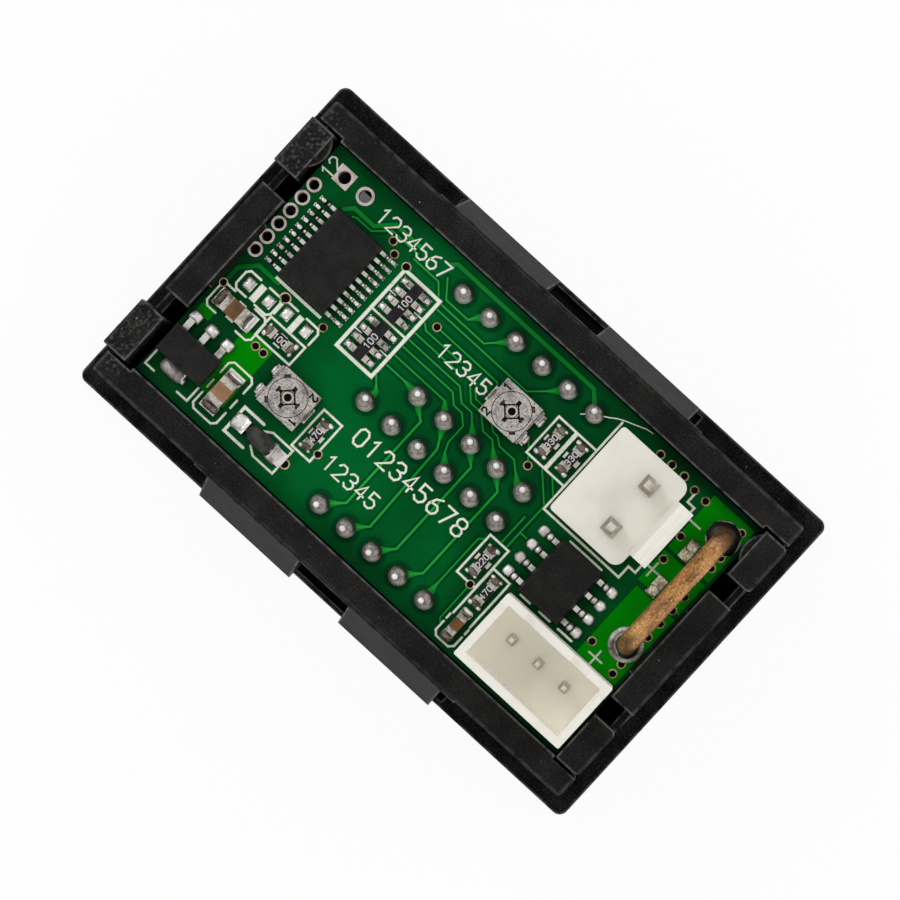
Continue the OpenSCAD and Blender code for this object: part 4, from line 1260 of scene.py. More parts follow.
@dataclass(frozen=True)
class BoardFace:
    """The height of the board's rear face, and how far its layers stand above it."""

    face: float
    gap_top: float = 0.004
    pour_top: float = 0.022
    wide_top: float = 0.028
    trace_top: float = 0.038
    ink_top: float = 0.062
    ring_top: float = 0.068
    hole_top: float = 0.088


@dataclass(frozen=True)
class CopperArtwork:
    """Traces, pours and the clearances round them that show through the mask."""

    board: BoardFace
    joint_gap: float = 1.08
    trace_gap: float = 0.2
    catch: float = 0.3
    drop_length: float = 1.65
    drop_width: float = 0.9
    traces: Tuple[Path, ...] = (
        ((-8.3, 9.0), (-7.3, 7.75), (-5.2, 7.75), (-4.8, 8.3), (-4.1, 8.95)),
        ((-11, 8.35), (-8.6, 8.35), (-7.9, 7.6)),
        ((-7.3, 7.27), (-3.2, 7.27), (-2.6, 7.9), (-1.55, 8.95)),
        ((-7.3, 6.8), (1.4, 6.8), (2.75, 8.1), (3.5, 8.95)),
        ((-6.1, 5.87), (-0.6, 5.87), (-0.3, 5.5)),
        ((-7.3, 5.5), (-6.9, 5.15), (-3.5, 5.15)),
        ((-7.3, 4.5), (-3.5, 4.5)),
        ((-1.9, 4.4), (-1, 3.5), (0, 3.5), (1, 2.6), (1.9, 2.6), (2.7, 1.85), (3.5, 1.3)),
        ((-1.4, 4.4), (-0.9, 3.95), (-0.2, 3.95)),
        ((-7.3, 3.85), (-2.4, 3.85), (-1.5, 3.05), (-0.5, 3.05), (0.5, 2), (0.95, 1.3)),
        (
            (-7.3, 3.2), (-2.5, 3.2), (-1.8, 2.55), (-1, 2.55),
            (-0.3, 1.9), (-0.3, 0.35), (0, -0.35), (0.95, -1.5),
        ),
        ((-7.3, 2.35), (-2.5, 2.35), (-1.55, 1.3)),
        ((-7.3, 1.45), (-5.5, 1.45), (-4.1, 1.3)),
        ((-7.35, 0.4), (-6.6, -0.45), (-6.65, -1.5)),
        ((7.35, 0.1), (7.35, -2.5)),
        ((7.85, 1.5), (7.85, -2.5)),
        ((7.85, -0.95), (8.5, -0.95)),
        ((6.4, -2.9), (5.95, -3.3), (5.95, -8), (6, -9.1)),
        ((7.72, -6.1), (7.75, -9.3), (8.1, -9.7)),
        ((5.9, 3.5), (7.85, 1.6)),
        ((6.9, 3.5), (7.9, 2.5)),
        ((3.8, 4.4), (5.02, 2.95)),
        ((1.1, 3.4), (1.6, 3.05), (2, 3.05), (2.6, 2.6), (4, 2.6), (5.3, 1.5), (6.05, 1.3)),
        ((-16.3, 7.6), (-16.0, 7.75), (-14.6, 7.75), (-13.5, 8.8), (-11, 8.8)),
    )
    wide_traces: Tuple[Path, ...] = (
        ((-8.7, 9.9), (-8.4, 10.2), (4.8, 10.2), (5.6, 9.4), (6.05, 8.95)),
        ((-17.1, 7.6), (-16.6, 8.15), (-14.7, 8.15), (-13.6, 9.3), (-11, 9.3)),
        ((-17, 0.5), (-18.9, 0.5), (-19.9, -0.6), (-20, -4)),
    )
    pours: Tuple[Path, ...] = (
        box_points(16.55, -4.5, 20.2, 1.9),
        box_points(16.3, 5.45, 20.2, 10.4),
        box_points(16.3, 2.3, 20.2, 5.15),
        box_points(-16.5, -8.8, -13.9, -3.4),
        box_points(-20.1, -4.9, -18.9, -3.9),
    )

    @staticmethod
    def _columns() -> Tuple[Path, ...]:
        """The upright traces between the second and fourth rows of joints."""
        made = [
            ((joint, 1.3), (joint + 0.65, 0.6), (x, 0.1), (x, -7.8), (joint, -9.1))
            for x, joint in zip((-2.75, -0.35, 2.12, 4.7), JOINT_XS[1:5])
        ]
        made[1] = ((-1.55, 1.3), (-0.55, -0.6), (-0.35, -7.9), (-1.55, -9.1))
        return tuple(made)

    def _teardrops(self, paths: Sequence[Path]) -> List[Tuple[Path, List[float]]]:
        """Short lines that widen into the joints at the ends of the traces.

        Args:
            paths: The traces.

        Returns:
            For each, its points from the joint's centre outward, and its width at each.
        """
        return [
            self._drop(joint, run[1:])
            for path in paths
            for run in (path, path[::-1])
            for joint in JOINTS
            if math.dist(run[0], joint) < self.catch
        ]

    def _drop(self, joint: Point, run: Sequence[Point]) -> Tuple[Path, List[float]]:
        """One teardrop that follows a trace away from its joint.

        Args:
            joint: The joint's centre.
            run: The trace's next points.

        Returns:
            The teardrop's points and its width at each.
        """
        points, widths, walked = [Vector(joint)], [self.drop_width], 0.0
        for corner in run:
            step = Vector(corner) - points[-1]
            share = min(1.0, (self.drop_length - walked) / step.length)
            points.append(points[-1] + step * share)
            walked += step.length * share
            widths.append(self.drop_width + (TRACE - self.drop_width) * walked / self.drop_length)
            if share < 1.0:
                break
        return tuple(tuple(point) for point in points), widths

    def build(self) -> None:
        """Lay the clearances, the pours and then the traces."""
        face = self.board.face
        paths = self.traces + self._columns()
        gaps = Draft("copper_clearances")
        top = face + self.board.gap_top
        for joint in JOINTS:
            gaps.disc(joint, self.joint_gap, face, top)
        for path in paths + self.wide_traces:
            gaps.line(path, TRACE + 2 * self.trace_gap, face, top + gaps.STEP)
        gaps.finish(MASK_IN_GAP, slot="board_green")
        pours = Draft("copper_pours")
        for i, outline in enumerate(self.pours):
            pours.slab(outline, face, face + self.board.pour_top + pours.STEP * i, SOFT_EDGE)
        pours.finish(MASK_ON_POUR, slot="board_green")
        traces = Draft("copper_traces")
        for drawn, width in ((self.traces, TRACE), (self._columns(), COLUMN_TRACE)):
            for path in drawn:
                traces.line(path, width, face, face + self.board.trace_top)
        traces.finish(MASK_ON_COPPER, slot="board_green")
        wide = Draft("wide_copper")
        for path, width in [(path, WIDE_TRACE) for path in self.wide_traces] + self._teardrops(paths):
            wide.line(path, width, face, face + self.board.wide_top)
        wide.finish(MASK_ON_WIDE, slot="board_green")


@dataclass(frozen=True)
class Vias:
    """Small plated holes with their rings."""

    board: BoardFace
    hole_share: float = 0.64
    # Middle X and Y, and radius.
    large: Tuple[Size, ...] = ((-15.88, 0.05, 0.48), (-7.9, -8.75, 0.42), (-11.0, 7.55, 0.4))
    small_r: float = 0.37
    small: Path = (
        (-12.47, 0.33), (-19.95, -2.1), (-15.15, -3.92), (-14.4, -3.92), (-6.6, -6.62),
        (-12.95, 8.3), (-12.25, 7.65), (-6.47, 5.87), (5.02, 2.95), (7.72, -6.1),
        (15.02, 9.7), (16.13, 9.65), (19.57, 9.7), (16.5, 6.6), (16.7, 4.57),
        (16.9, -3.2), (19.55, -3.0), (19.55, -3.92),
        *((19.65, y) for y in (7.4, 6.4, 3.6, 2.3, 1.0, -0.3)),
        *((x, 9.95) for x in (11.5, 12.6, 13.8)),
    )

    def build(self) -> None:
        """Make the rings, and the dark discs of painted shade in the holes."""
        face = self.board.face
        rings = Draft("via_rings")
        holes = Draft("via_holes")
        for x, y, r in (*self.large, *((x, y, self.small_r) for x, y in self.small)):
            rings.ring((x, y), r * self.hole_share, r, face, face + self.board.ring_top)
            holes.disc((x, y), r * self.hole_share, face, face + self.board.hole_top)
        rings.finish(VIA, slot="eyelet_brass", smooth=True)
        holes.finish(HOLE)


@dataclass(frozen=True)
class InkPrint:
    """Printed outlines, signs and plain numbers on the board."""

    board: BoardFace
    pen: float = 0.19
    open_lines: Tuple[Path, ...] = (
        # Spare pads beside the controller.
        chamfered(((-18.05, -0.15), (-19.25, -0.15), (-19.25, -1.8), (-18.05, -1.8)), PAD_CUT),
        chamfered(((-17.2, -0.15), (-15.9, -0.15), (-15.9, -1.8), (-17.2, -1.8)), PAD_CUT),
        chamfered(((-14.6, 0), (-15.75, 0), (-15.75, -1.3)), PAD_CUT),
        chamfered(((-13.75, 0), (-12.4, 0), (-12.4, -1.3)), PAD_CUT),
        # Capacitor at the board's end.
        chamfered(((-18.9, -2.0), (-20.0, -2.0), (-20.0, -4.1), (-18.9, -4.1))),
        chamfered(((-16.95, -2.0), (-15.7, -2.0), (-15.7, -4.1), (-16.95, -4.1))),
        # Regulator corners.
        ((-20.2, -8.9), (-20.2, -10.15), (-19.35, -10.15)),
        ((-16.15, -8.9), (-16.15, -10.15), (-17.1, -10.15)),
        # Capacitor beside the regulator.
        chamfered(((-15.75, -7.0), (-15.75, -5.8), (-13.5, -5.8), (-13.5, -7.0))),
        chamfered(((-15.75, -8.9), (-15.75, -10.2), (-13.5, -10.2), (-13.5, -8.9))),
        ((-15.75, -7.7), (-15.75, -8.4)),
        ((-13.5, -7.7), (-13.5, -8.4)),
        # Diode, right half.
        ((-10.6, -8.05), (-10.0, -7.65), (-8.1, -7.65), (-8.1, -9.85), (-10.0, -9.85), (-10.6, -9.4)),
        # Divider between the arrays.
        ((-11.0, 3.75), (-7.5, 3.75)),
        # Resistor and capacitor beside the signal header.
        ((8.2, -8.4), (8.2, -4.15), (9.8, -4.15), (9.8, -8.4)),
        chamfered(((8.1, -9.3), (8.1, -10.45), (9.85, -10.45), (9.85, -9.3))),
        ((8.1, -8.6), (8.1, -9.0)),
        ((9.85, -8.6), (9.85, -9.0)),
        # Amplifier.
        *(((x0, -4.2), (x1, -4.2)) for x0, x1 in ((10.9, 11.8), (12.7, 13.7), (14.5, 15.8))),
        ((10.95, 1.0), (13.95, 1.0)),
        # Power header.
        ((7.95, 9.8), (7.95, 1.45), (15.2, 1.45), (15.2, 2.5), (15.85, 2.5), (15.85, 3.2)),
        ((15.2, 9.8), (15.2, 8.75), (15.85, 8.75), (15.85, 8.35)),
    )
    # Frames round the small resistors.
    boxes: Tuple[Path, ...] = (
        box_points(-15.75, -3.3, -12.45, -1.6),
        box_points(-8.45, -7.4, -6.7, -3.95),
        box_points(4.3, 3.6, 6.0, 7.05),
        box_points(6.15, 3.6, 7.95, 7.05),
        box_points(6.4, -6.05, 8.15, -2.5),
    )
    array_frame: Path = box_points(-10.92, 0.08, -7.55, 7.35)
    array_pen: float = 0.3
    mark_ys: Point = (5.55, 1.9)
    mark_pen: float = 0.12
    diode_frame: Path = ((-10.9, -7.65), (-12.75, -7.65), (-12.75, -9.9), (-10.9, -9.9))
    diode_pen: float = 0.26
    # Bars between pads, and the bar below the controller.
    bars: Tuple[Path, ...] = (
        box_points(-17.85, -1.75, -17.3, -0.3),
        box_points(-14.35, -1.5, -13.85, -0.1),
        box_points(-14.4, -2.95, -13.8, -1.95),
        box_points(-18.2, -3.85, -17.5, -2.25),
        box_points(-8.2, -5.95, -7.0, -5.45),
        box_points(4.55, 5.1, 5.75, 5.6),
        box_points(6.4, 5.1, 7.7, 5.6),
        box_points(6.65, -4.5, 7.9, -4.0),
        box_points(-17.45, 0.6, -13.05, 0.86),
    )
    # The minus sign and the two plus signs.
    signs: Tuple[Path, ...] = (
        ((16.2, 7.92), (17.15, 7.92)),
        ((16.02, 3.5), (17.18, 3.5)),
        ((16.6, 2.92), (16.6, 4.08)),
        ((17.25, -3.9), (18.45, -3.9)),
        ((17.85, -4.5), (17.85, -3.3)),
    )
    numbers: Tuple[Number, ...] = (
        Number("012345678", (-5.5, -4.3), 1.32, 0.18, pitch=0.9),
        Number("1234567", (-15.0, 8.6), 1.15, 0.165, pitch=0.84),
        Number("12345", (-5.3, 4.4), 1.1, 0.16, pitch=0.88),
        Number("12345", (-5.9, -7.05), 1.15, 0.16, pitch=0.88),
        Number("12", (-19.35, 8.5), 0.95, 0.15, 90.0, 0.9),
    )

    def build(self) -> None:
        """Print everything."""
        low = self.board.face
        high = low + self.board.ink_top
        signs = Draft("board_ink_signs")
        for path in self.signs:
            signs.line(path, self.pen, low, high)
        signs.finish(WORN_INK)
        ink = Draft("board_ink_lines")
        for path in self.open_lines:
            ink.line(path, self.pen, low, high)
        for path in self.boxes:
            ink.line(path, self.pen, low, high, True)
        ink.line(self.array_frame, self.array_pen, low, high, True)
        for y in self.mark_ys:
            for x0, x1 in ((-10.9, -10.2), (-8.35, -7.55)):
                ink.line([(x0, y), (x1, y)], self.mark_pen, low, high)
        ink.line(self.diode_frame, self.diode_pen, low, high)
        for bar in self.bars:
            ink.slab(bar, low, high, SOFT_EDGE)
        ink.finish(INK)
        numbers = Draft("board_ink_numbers")
        for number in self.numbers:
            numbers.number(number, low, high)
        numbers.finish(INK)


@dataclass(frozen=True)
class ResistorCodes:
    """Plain values printed on the resistors."""

    pen: float = 0.085
    lift: float = 0.012
    pitch: float = 0.92
    # The resistor, its value and the height of the digits.
    codes: Tuple[Tuple[str, str, float], ...] = (
        ("resistor_array_1", "100", 0.46),
        ("resistor_array_2", "100", 0.46),
        ("chip_resistor_1", "100", 0.42),
        ("chip_resistor_2", "470", 0.42),
        ("chip_resistor_3", "330", 0.42),
        ("chip_resistor_4", "330", 0.42),
        ("chip_resistor_5", "220", 0.42),
        ("chip_resistor_6", "470", 0.42),
    )

    def build(self) -> None:
        """Print the values."""
        draft = Draft("resistor_values")
        top = NodeBox("chip_resistor_1").top
        for node, text, height in self.codes:
            seat = Seat.of(node)
            length = (self.pitch * (len(text) - 1) + DIGIT_WIDTH) * height
            start = turned(seat.middle, seat.turn, -length / 2, -height / 2)
            number = Number(text, start, height, self.pen, seat.turn, self.pitch)
            draft.number(number, top, top + self.lift)
        draft.finish(CODE_INK)


# ---------- solder ----------


@dataclass(frozen=True)
class LeadRows:
    """The solder of a chip's two rows of leads: at their heels, and in front of their toes."""

    package: str
    count: int
    pitch: float
    heel: float
    heel_size: Size
    toe: float
    toe_size: Size

    def places(self) -> List[float]:
        """The leads' places along the chip."""
        along = Seat.of(self.package).middle[1]
        return [along + (i - (self.count - 1) / 2) * self.pitch for i in range(self.count)]


CONTROLLER = LeadRows(
    "controller_package", count=10, pitch=0.65,
    heel=2.82, heel_size=(0.36, 0.34, 0.42), toe=3.34, toe_size=(0.62, 0.4, 0.34),
)
AMPLIFIER = LeadRows(
    "amplifier_package", count=4, pitch=1.27,
    heel=2.66, heel_size=(0.6, 0.66, 0.6), toe=3.28, toe_size=(0.86, 0.84, 0.46),
)


@dataclass(frozen=True)
class LeadSolder:
    """Solder at the feet of the chips' leads."""

    face: float
    # Middle and size of the mounds at the regulator's leads, and of one under its tab.
    singles: Tuple[Tuple[Point, Size], ...] = (
        ((-19.68, -5.26), (1.05, 0.92, 0.56)),
        ((-18.15, -5.23), (1.08, 0.96, 0.6)),
        ((-16.62, -5.26), (1.05, 0.92, 0.56)),
        ((-17.3, -9.35), (0.5, 0.6, 0.42)),
    )
    tab: Point = (-18.3, -9.22)
    tab_size: Size = (2.1, 1.15, 0.8)
    squareness: float = 7.0
    lead_seed: int = 10
    toe_seed: int = 500
    tab_seed: int = 60
    # The painted shadows in the gaps under the controller's leads: two distances, a height and half a
    # width.
    gap_xs: Point = (-3.13, -2.99)
    gap_top: float = 0.24
    gap_half: float = 0.16

    def build(self) -> None:
        """Make the fillets."""
        draft = Draft("lead_fillets")
        bright = Draft("amplifier_toe_solder")
        seed = self.lead_seed
        for rows, toes in ((CONTROLLER, draft), (AMPLIFIER, bright)):
            x = Seat.of(rows.package).middle[0]
            for side in (-1, 1):
                for along in rows.places():
                    seed += 1
                    heel, toe = ((x + side * out, along) for out in (rows.heel, rows.toe))
                    draft.mound(heel, rows.heel_size, self.face, seed)
                    toes.mound(toe, rows.toe_size, self.face, seed + self.toe_seed)
        for middle, size in self.singles:
            seed += 1
            draft.mound(middle, size, self.face, seed, square=self.squareness)
        draft.finish(SOLDER, slot="solder", smooth=True)
        bright.finish(TOE_SOLDER, slot="solder", smooth=True)
        tab = Draft("tab_solder")
        tab.mound(self.tab, self.tab_size, self.face, self.tab_seed, square=self.squareness)
        tab.finish(TAB_SOLDER, slot="solder", smooth=True)
        gaps = Draft("lead_shadows")
        x0, x1 = (Seat.of(CONTROLLER.package).middle[0] + x for x in self.gap_xs)
        for along in CONTROLLER.places():
            outline = box_points(x0, along - self.gap_half, x1, along + self.gap_half)
            gaps.slab(outline, self.face, self.face + self.gap_top)
        gaps.finish(HOLE)


@dataclass(frozen=True)
class ChipSolder:
    """Solder at both ends of the chip resistors and capacitors, with painted highlights and painted shade
    on the chips' ends, and at the arrays' leads.
    """

    face: float
    chips: Tuple[str, ...] = (
        *(f"chip_resistor_{i}_ends" for i in range(1, 7)),
        *(f"chip_capacitor_{i}_ends" for i in range(1, 4)),
    )
    arrays: Tuple[str, ...] = ("resistor_array_1", "resistor_array_2")
    tall: float = 0.6
    squareness: float = 5.0
    # Each mound's length, and its width and height as shares of the chip's.
    low_end: Size = (0.74, 1.2, 0.86)
    tall_end: Size = (0.5, 1.2, 0.62)
    # On tall chips, one end gets a plate of painted shade and the other a plate of painted highlight.
    shaded_plate: Size = (0.66, 1.16, 0.72)
    lit_plate: Size = (0.46, 1.1, 0.56)
    # How far the mounds lie from the chip's end.
    end_out: float = 0.2
    plate_out: float = 0.36
    spot_out: float = 0.4
    spot_across: float = 0.44
    array_fillet: Size = (0.76, 0.56, 0.4)
    array_out: float = 1.02
    array_pitch: float = 0.8
    end_seed: int = 70
    spot_seed: int = 300
    array_seed: int = 90

    @staticmethod
    def _sized(shares: Size, seat: Seat) -> Size:
        """A mound's size, from its length and its shares of the chip's width and height."""
        return (shares[0], shares[1] * seat.width, shares[2] * seat.height)

    def _ends(self, seat: Seat, seed: int, dark: Draft, spots: Draft) -> None:
        """The fillets of one chip.

        Args:
            seat: Where the chip sits.
            seed: The chip's number.
            dark: The draft of the dull fillets, and of the painted shade at one end of each tall chip.
            spots: The draft of the painted highlights.
        """
        half = seat.length / 2
        tall = seat.height > self.tall
        for side in (-1, 1):
            end = turned(seat.middle, seat.turn, side * (half + self.end_out), 0)
            size = self._sized(self.tall_end if tall else self.low_end, seat)
            end_seed = self.end_seed + 2 * seed + side
            dark.mound(end, size, self.face, end_seed, seat.turn, self.squareness)
            spot_seed = self.spot_seed + seed
            # Tall chips: painted shade on the first end and a painted highlight on the other.
            if tall:
                end = turned(seat.middle, seat.turn, side * (half + self.plate_out), 0)
                layer, plate = (dark, self.shaded_plate) if side < 0 else (spots, self.lit_plate)
                size = self._sized(plate, seat)
                layer.mound(end, size, self.face, spot_seed, seat.turn, self.squareness)
                continue
            # Low chips: small painted highlights at the outer corners of both ends.
            for k, across in enumerate((-1, 1)):
                out, aside = side * (half + self.spot_out), across * seat.width * self.spot_across
                end = turned(seat.middle, seat.turn, out, aside)
                spread = 0.24 + 0.14 * ((seed + k + side) % 3) / 2
                spots.mound(end, (spread, spread * 1.3, 0.4), self.face, spot_seed + k, seat.turn)

    def build(self) -> None:
        """Make the fillets."""
        draft = Draft("array_fillets")
        dark = Draft("chip_fillets")
        spots = Draft("chip_fillet_spots")
        for seed, node in enumerate(self.chips):
            self._ends(Seat.of(node), seed, dark, spots)
        for node in self.arrays:
            x, y = Seat.of(node).middle
            for side in (-1, 1):
                for i in range(4):
                    place = (x + side * self.array_out, y + (i - 1.5) * self.array_pitch)
                    seed = self.array_seed + i + int(y) + side
                    draft.mound(place, self.array_fillet, self.face, seed)
        draft.finish(SOLDER, slot="solder", smooth=True)
        dark.finish(FILLET, slot="solder", smooth=True)
        spots.finish(FILLET_HIGHLIGHT, slot="solder", smooth=True)


@dataclass(frozen=True)
class SpareSolder:
    """Uneven solder on the diode's, spare and sense pads, and the diode's dark skin."""

    face: float
    squareness: float = 5.0
    # Middle, size and turn of the diode's two mounds.
    diode_mounds: Tuple[Tuple[Point, Size, float], ...] = (
        ((-12.3, -8.68), (1.2, 1.3, 0.34), 6),
        ((-8.95, -8.72), (1.35, 1.4, 0.36), -8),
    )
    pad: Size = (0.8, 0.95, 0.34)
    pads: Path = ((-18.5, -0.95), (-16.6, -0.95), (-15.05, -0.72), (-13.2, -0.72))
    pad_seed: int = 130
    sense_shares: Point = (1.02, 1.04)
    sense_height: float = 0.6
    sense_turn: float = 8.0
    sense_squareness: float = 3.6
    sense_seed: int = 150
    skin_shares: Point = (1.34, 1.12)
    skin_lift: float = 0.05
    skin_seed: int = 160

    def _pads(self) -> None:
        """The diode's and the spare pads' mounds."""
        draft = Draft("spare_pad_solder")
        mounds = (*self.diode_mounds, *((place, self.pad, 0) for place in self.pads))
        for seed, (place, size, turn) in enumerate(mounds, self.pad_seed):
            draft.mound(place, size, self.face, seed, turn, self.squareness)
        draft.finish(SOLDER, slot="solder", smooth=True)

    def _sense(self) -> None:
        """The mounds at both ends of the sense solder."""
        draft = Draft("sense_pad_solder")
        box = NodeBox("sense_solder")
        x, wide = box.middle[0], box.size[0]
        size = (wide * self.sense_shares[0], wide * self.sense_shares[1], self.sense_height)
        for seed, y in enumerate((box.low[1] + wide / 2, box.high[1] - wide / 2), self.sense_seed):
            draft.mound((x, y), size, self.face, seed, self.sense_turn, self.sense_squareness)
        draft.finish(SENSE, slot="solder", smooth=True)

    def _skin(self) -> None:
        """The dark skin of the diode."""
        draft = Draft("diode_skin")
        diode = NodeBox("diode_package")
        length, width = (share * size for share, size in zip(self.skin_shares, diode.size))
        size = (length, width, diode.top - self.face + self.skin_lift)
        draft.mound(diode.middle, size, self.face, self.skin_seed, square=self.squareness)
        draft.finish(DIODE, smooth=True)

    def build(self) -> None:
        """Make the mounds."""
        self._pads()
        self._sense()
        self._skin()


@dataclass(frozen=True)
class ShuntFlux:
    """Burnt flux round the feet of the shunt."""

    face: float
    foot: float = 0.75
    # Shift, size and seed at the foot near the signal header, and at the far one.
    near: Tuple[Point, Size, int] = ((0.05, -0.05), (1.9, 1.9, 0.85), 171)
    far: Tuple[Point, Size, int] = ((0.0, 0.0), (2.6, 2.55, 0.9), 172)

    def build(self) -> None:
        """Make the mounds."""
        wire = NodeBox("shunt_wire")
        draft = Draft("shunt_flux")
        ends = (wire.low[1] + self.foot, wire.high[1] - self.foot)
        for y, (shift, size, seed) in zip(ends, (self.near, self.far)):
            place = (wire.middle[0] + shift[0], y + shift[1])
            draft.mound(place, size, self.face, seed, square=2.0)
        draft.finish(FLUX, smooth=True)


@dataclass(frozen=True)
class TrimmerDetail:
    """Painted shade in the bores, slots and grooves, raised petals on the rotor, plain marks and solder of
    one trimmer.
    """

    name: str
    body: str
    turn: float
    face: float
    bore: float = 0.27
    floor_r: float = 1.45
    well_r: float = 0.72
    well_pen: float = 0.13
    petal_rs: Point = (0.72, 1.16)
    petal_gap: float = 21.0
    petal_top: float = 0.035
    petal_edge: float = 0.05
    groove_turn: float = 47.0
    groove_out: float = 1.5
    groove_r: float = 0.19
    groove_top: float = 0.1
    # How far pieces reach into what carries them, and how far print stands above it.
    sunk: float = 0.02
    print_top: float = 0.008
    # Each digit and its place along the frame.
    marks: Tuple[Tuple[str, float], ...] = (("1", 0.93), ("2", -1.4))
    mark_x: float = -1.14
    mark_height: float = 0.56
    mark_pen: float = 0.19
    lump_seed: int = 400
    slot: Path = box_points(-1.98, -0.42, -1.74, 0.42)
    # Middle and size of the terminals' solder, in the trimmer's own directions.
    lumps: Tuple[Tuple[Point, Size], ...] = (
        ((2.05, 0.82), (0.5, 0.85, 0.5)),
        ((2.05, -0.82), (0.5, 0.85, 0.5)),
        ((-2.0, 0.52), (0.26, 0.26, 0.6)),
        ((-2.0, -0.52), (0.26, 0.26, 0.6)),
    )

    @property
    def eyelet(self) -> NodeBox:
        """The box of the eyelet that the rotor turns on."""
        return NodeBox(self.name + "_eyelet")

    def _placed(self, points: Sequence[Point]) -> Path:
        """Points of the trimmer's own directions, placed on the board."""
        middle = self.eyelet.middle
        return tuple(turned(middle, self.turn, x, y) for x, y in points)

    @staticmethod
    def _arc(r: float, start: float, end: float, steps: int = 6) -> List[Point]:
        """Points on an arc round the middle, from one angle to another, in degrees."""
        turns = [math.radians(start + (end - start) * i / steps) for i in range(steps + 1)]
        return [(r * math.cos(t), r * math.sin(t)) for t in turns]

    def _frame_pieces(self, rotor: NodeBox) -> None:
        """The painted shade in the bore, the plain marks and the slots' floor of painted shade, which stay
        with the frame.
        """
        middle = self.eyelet.middle
        frame_top = NodeBox(self.name + "_base").top
        low = rotor.low[2]
        dark = Draft(self.name + "_shade")
        # Painted shade: a dark disc in the eyelet's bore.
        dark.disc(middle, self.bore, low - self.sunk, rotor.top - self.sunk)
        for text, y in self.marks:
            start = turned(middle, self.turn, self.mark_x, y)
            mark = Number(text, start, self.mark_height, self.mark_pen, self.turn + 90)
            dark.number(mark, frame_top - self.sunk, frame_top + self.print_top)
        dark.finish(HOLE)
        # Painted shade: a darker floor under the rotor's slots, in the grooves, and over the frame's slot.
        floor = Draft(self.name + "_slot_floor")
        floor.disc(middle, self.floor_r, low - 0.015, low - 0.008, 40)
        for side in (-1, 1):
            groove = turned(middle, self.turn + side * self.groove_turn, self.groove_out, 0)
            floor.disc(groove, self.groove_r, low - self.sunk, low + self.groove_top, 12)
        floor.slab(self._placed(self.slot), self.face + 0.5, frame_top + 0.01, SOFT_EDGE)
        floor.finish(SHADED_SLOT_FLOOR)

    def _rotor_pieces(self, top: float) -> None:
        """The dark square line of painted shade and the petals, which turn with the rotor, from its top.
        """
        well = Draft(self.name + "_well")
        square = self._placed(circle((0, 0), self.well_r, 4))
        # Painted shade: a dark square line round the well.
        well.line(square, self.well_pen, top - self.sunk, top + self.print_top, True)
        well.finish(HOLE, self.body)
        petals = Draft(self.name + "_petals")
        eyelet = self.eyelet
        petals.ring(eyelet.middle, eyelet.size[0] / 2 + 0.01, self.well_r * 0.8, top - 0.03, top + 0.003)
        inner, outer = self.petal_rs
        for quarter in range(4):
            start = 90 * quarter + self.petal_gap
            end = 90 * quarter + 90 - self.petal_gap
            outline = self._arc(outer, start, end) + self._arc(inner, end, start)
            outline = self._placed(outline)
            petals.slab(outline, top - self.sunk, top + self.petal_top, self.petal_edge)
        petals.finish(TRIMMER, self.body, slot="trimmer_metal")

    def build(self) -> None:
        """Make the pieces."""
        rotor = NodeBox(self.name + "_rotor")
        self._frame_pieces(rotor)
        self._rotor_pieces(rotor.top)
        solder = Draft(self.name + "_solder")
        for seed, (place, size) in enumerate(self.lumps, self.lump_seed + int(self.turn)):
            middle = turned(self.eyelet.middle, self.turn, *place)
            solder.mound(middle, size, self.face, seed, self.turn, 3.0)
        solder.finish(SOLDER, slot="solder", smooth=True)


@dataclass(frozen=True)
class Lint:
    """A stray fibre on the board."""

    face: float
    radius: float = 0.045
    low: float = 0.12
    rise: float = 0.5
    path: Path = (
        (5.3, 8.2), (5.8, 8.65), (6.3, 9.0), (7.0, 9.4), (7.5, 9.75),
        (8.0, 10.0), (8.8, 10.3), (9.5, 10.6), (10.1, 10.7),
    )

    def build(self) -> None:
        """Lay the fibre, which bows up between its ends."""
        draft = Draft("white_lint")
        points = []
        for i, (x, y) in enumerate(self.path):
            lift = self.low + self.rise * math.sin(math.pi * i / (len(self.path) - 1))
            points.append((x, y, self.face + lift))
        draft.tube(points, self.radius)
        draft.finish(LINT, smooth=True)


# ---------- studio ----------


@dataclass(frozen=True)
class FloorPaper(Finish):
    """Plain white paper that stays white round the part and keeps its shadow."""

    colour: Colour = tone(244, 244, 244)
    paler: Colour = tone(250, 250, 250)
    glow: float = 0.93

    def dress(self, recipe: Recipe) -> bpy.types.Material:
        """Make the material."""
        grain = recipe.noise(0.5, 2.0)
        colour = recipe.mix(grain, self.colour, self.paler)
        paper = recipe.add("ShaderNodeBsdfDiffuse", None, {"Color": colour})
        white = recipe.add("ShaderNodeEmission", None, {"Color": (1, 1, 1, 1), "Strength": 1.0})
        path = recipe.add("ShaderNodeLightPath", output="Is Camera Ray")
        rays = path.socket.node.outputs
        seen = path + Wire(recipe, rays["Is Glossy Ray"]) + Wire(recipe, rays["Is Transmission Ray"])
        mixed = recipe.add("ShaderNodeMixShader", None, {0: seen * self.glow, 1: paper, 2: white})
        recipe.add("ShaderNodeOutputMaterial", None, {"Surface": mixed})
        return recipe.material


class LampKind(Enum):
    """The lamps of the studio."""

    KEY = "key"
    FILL = "fill"
    TOP = "top"


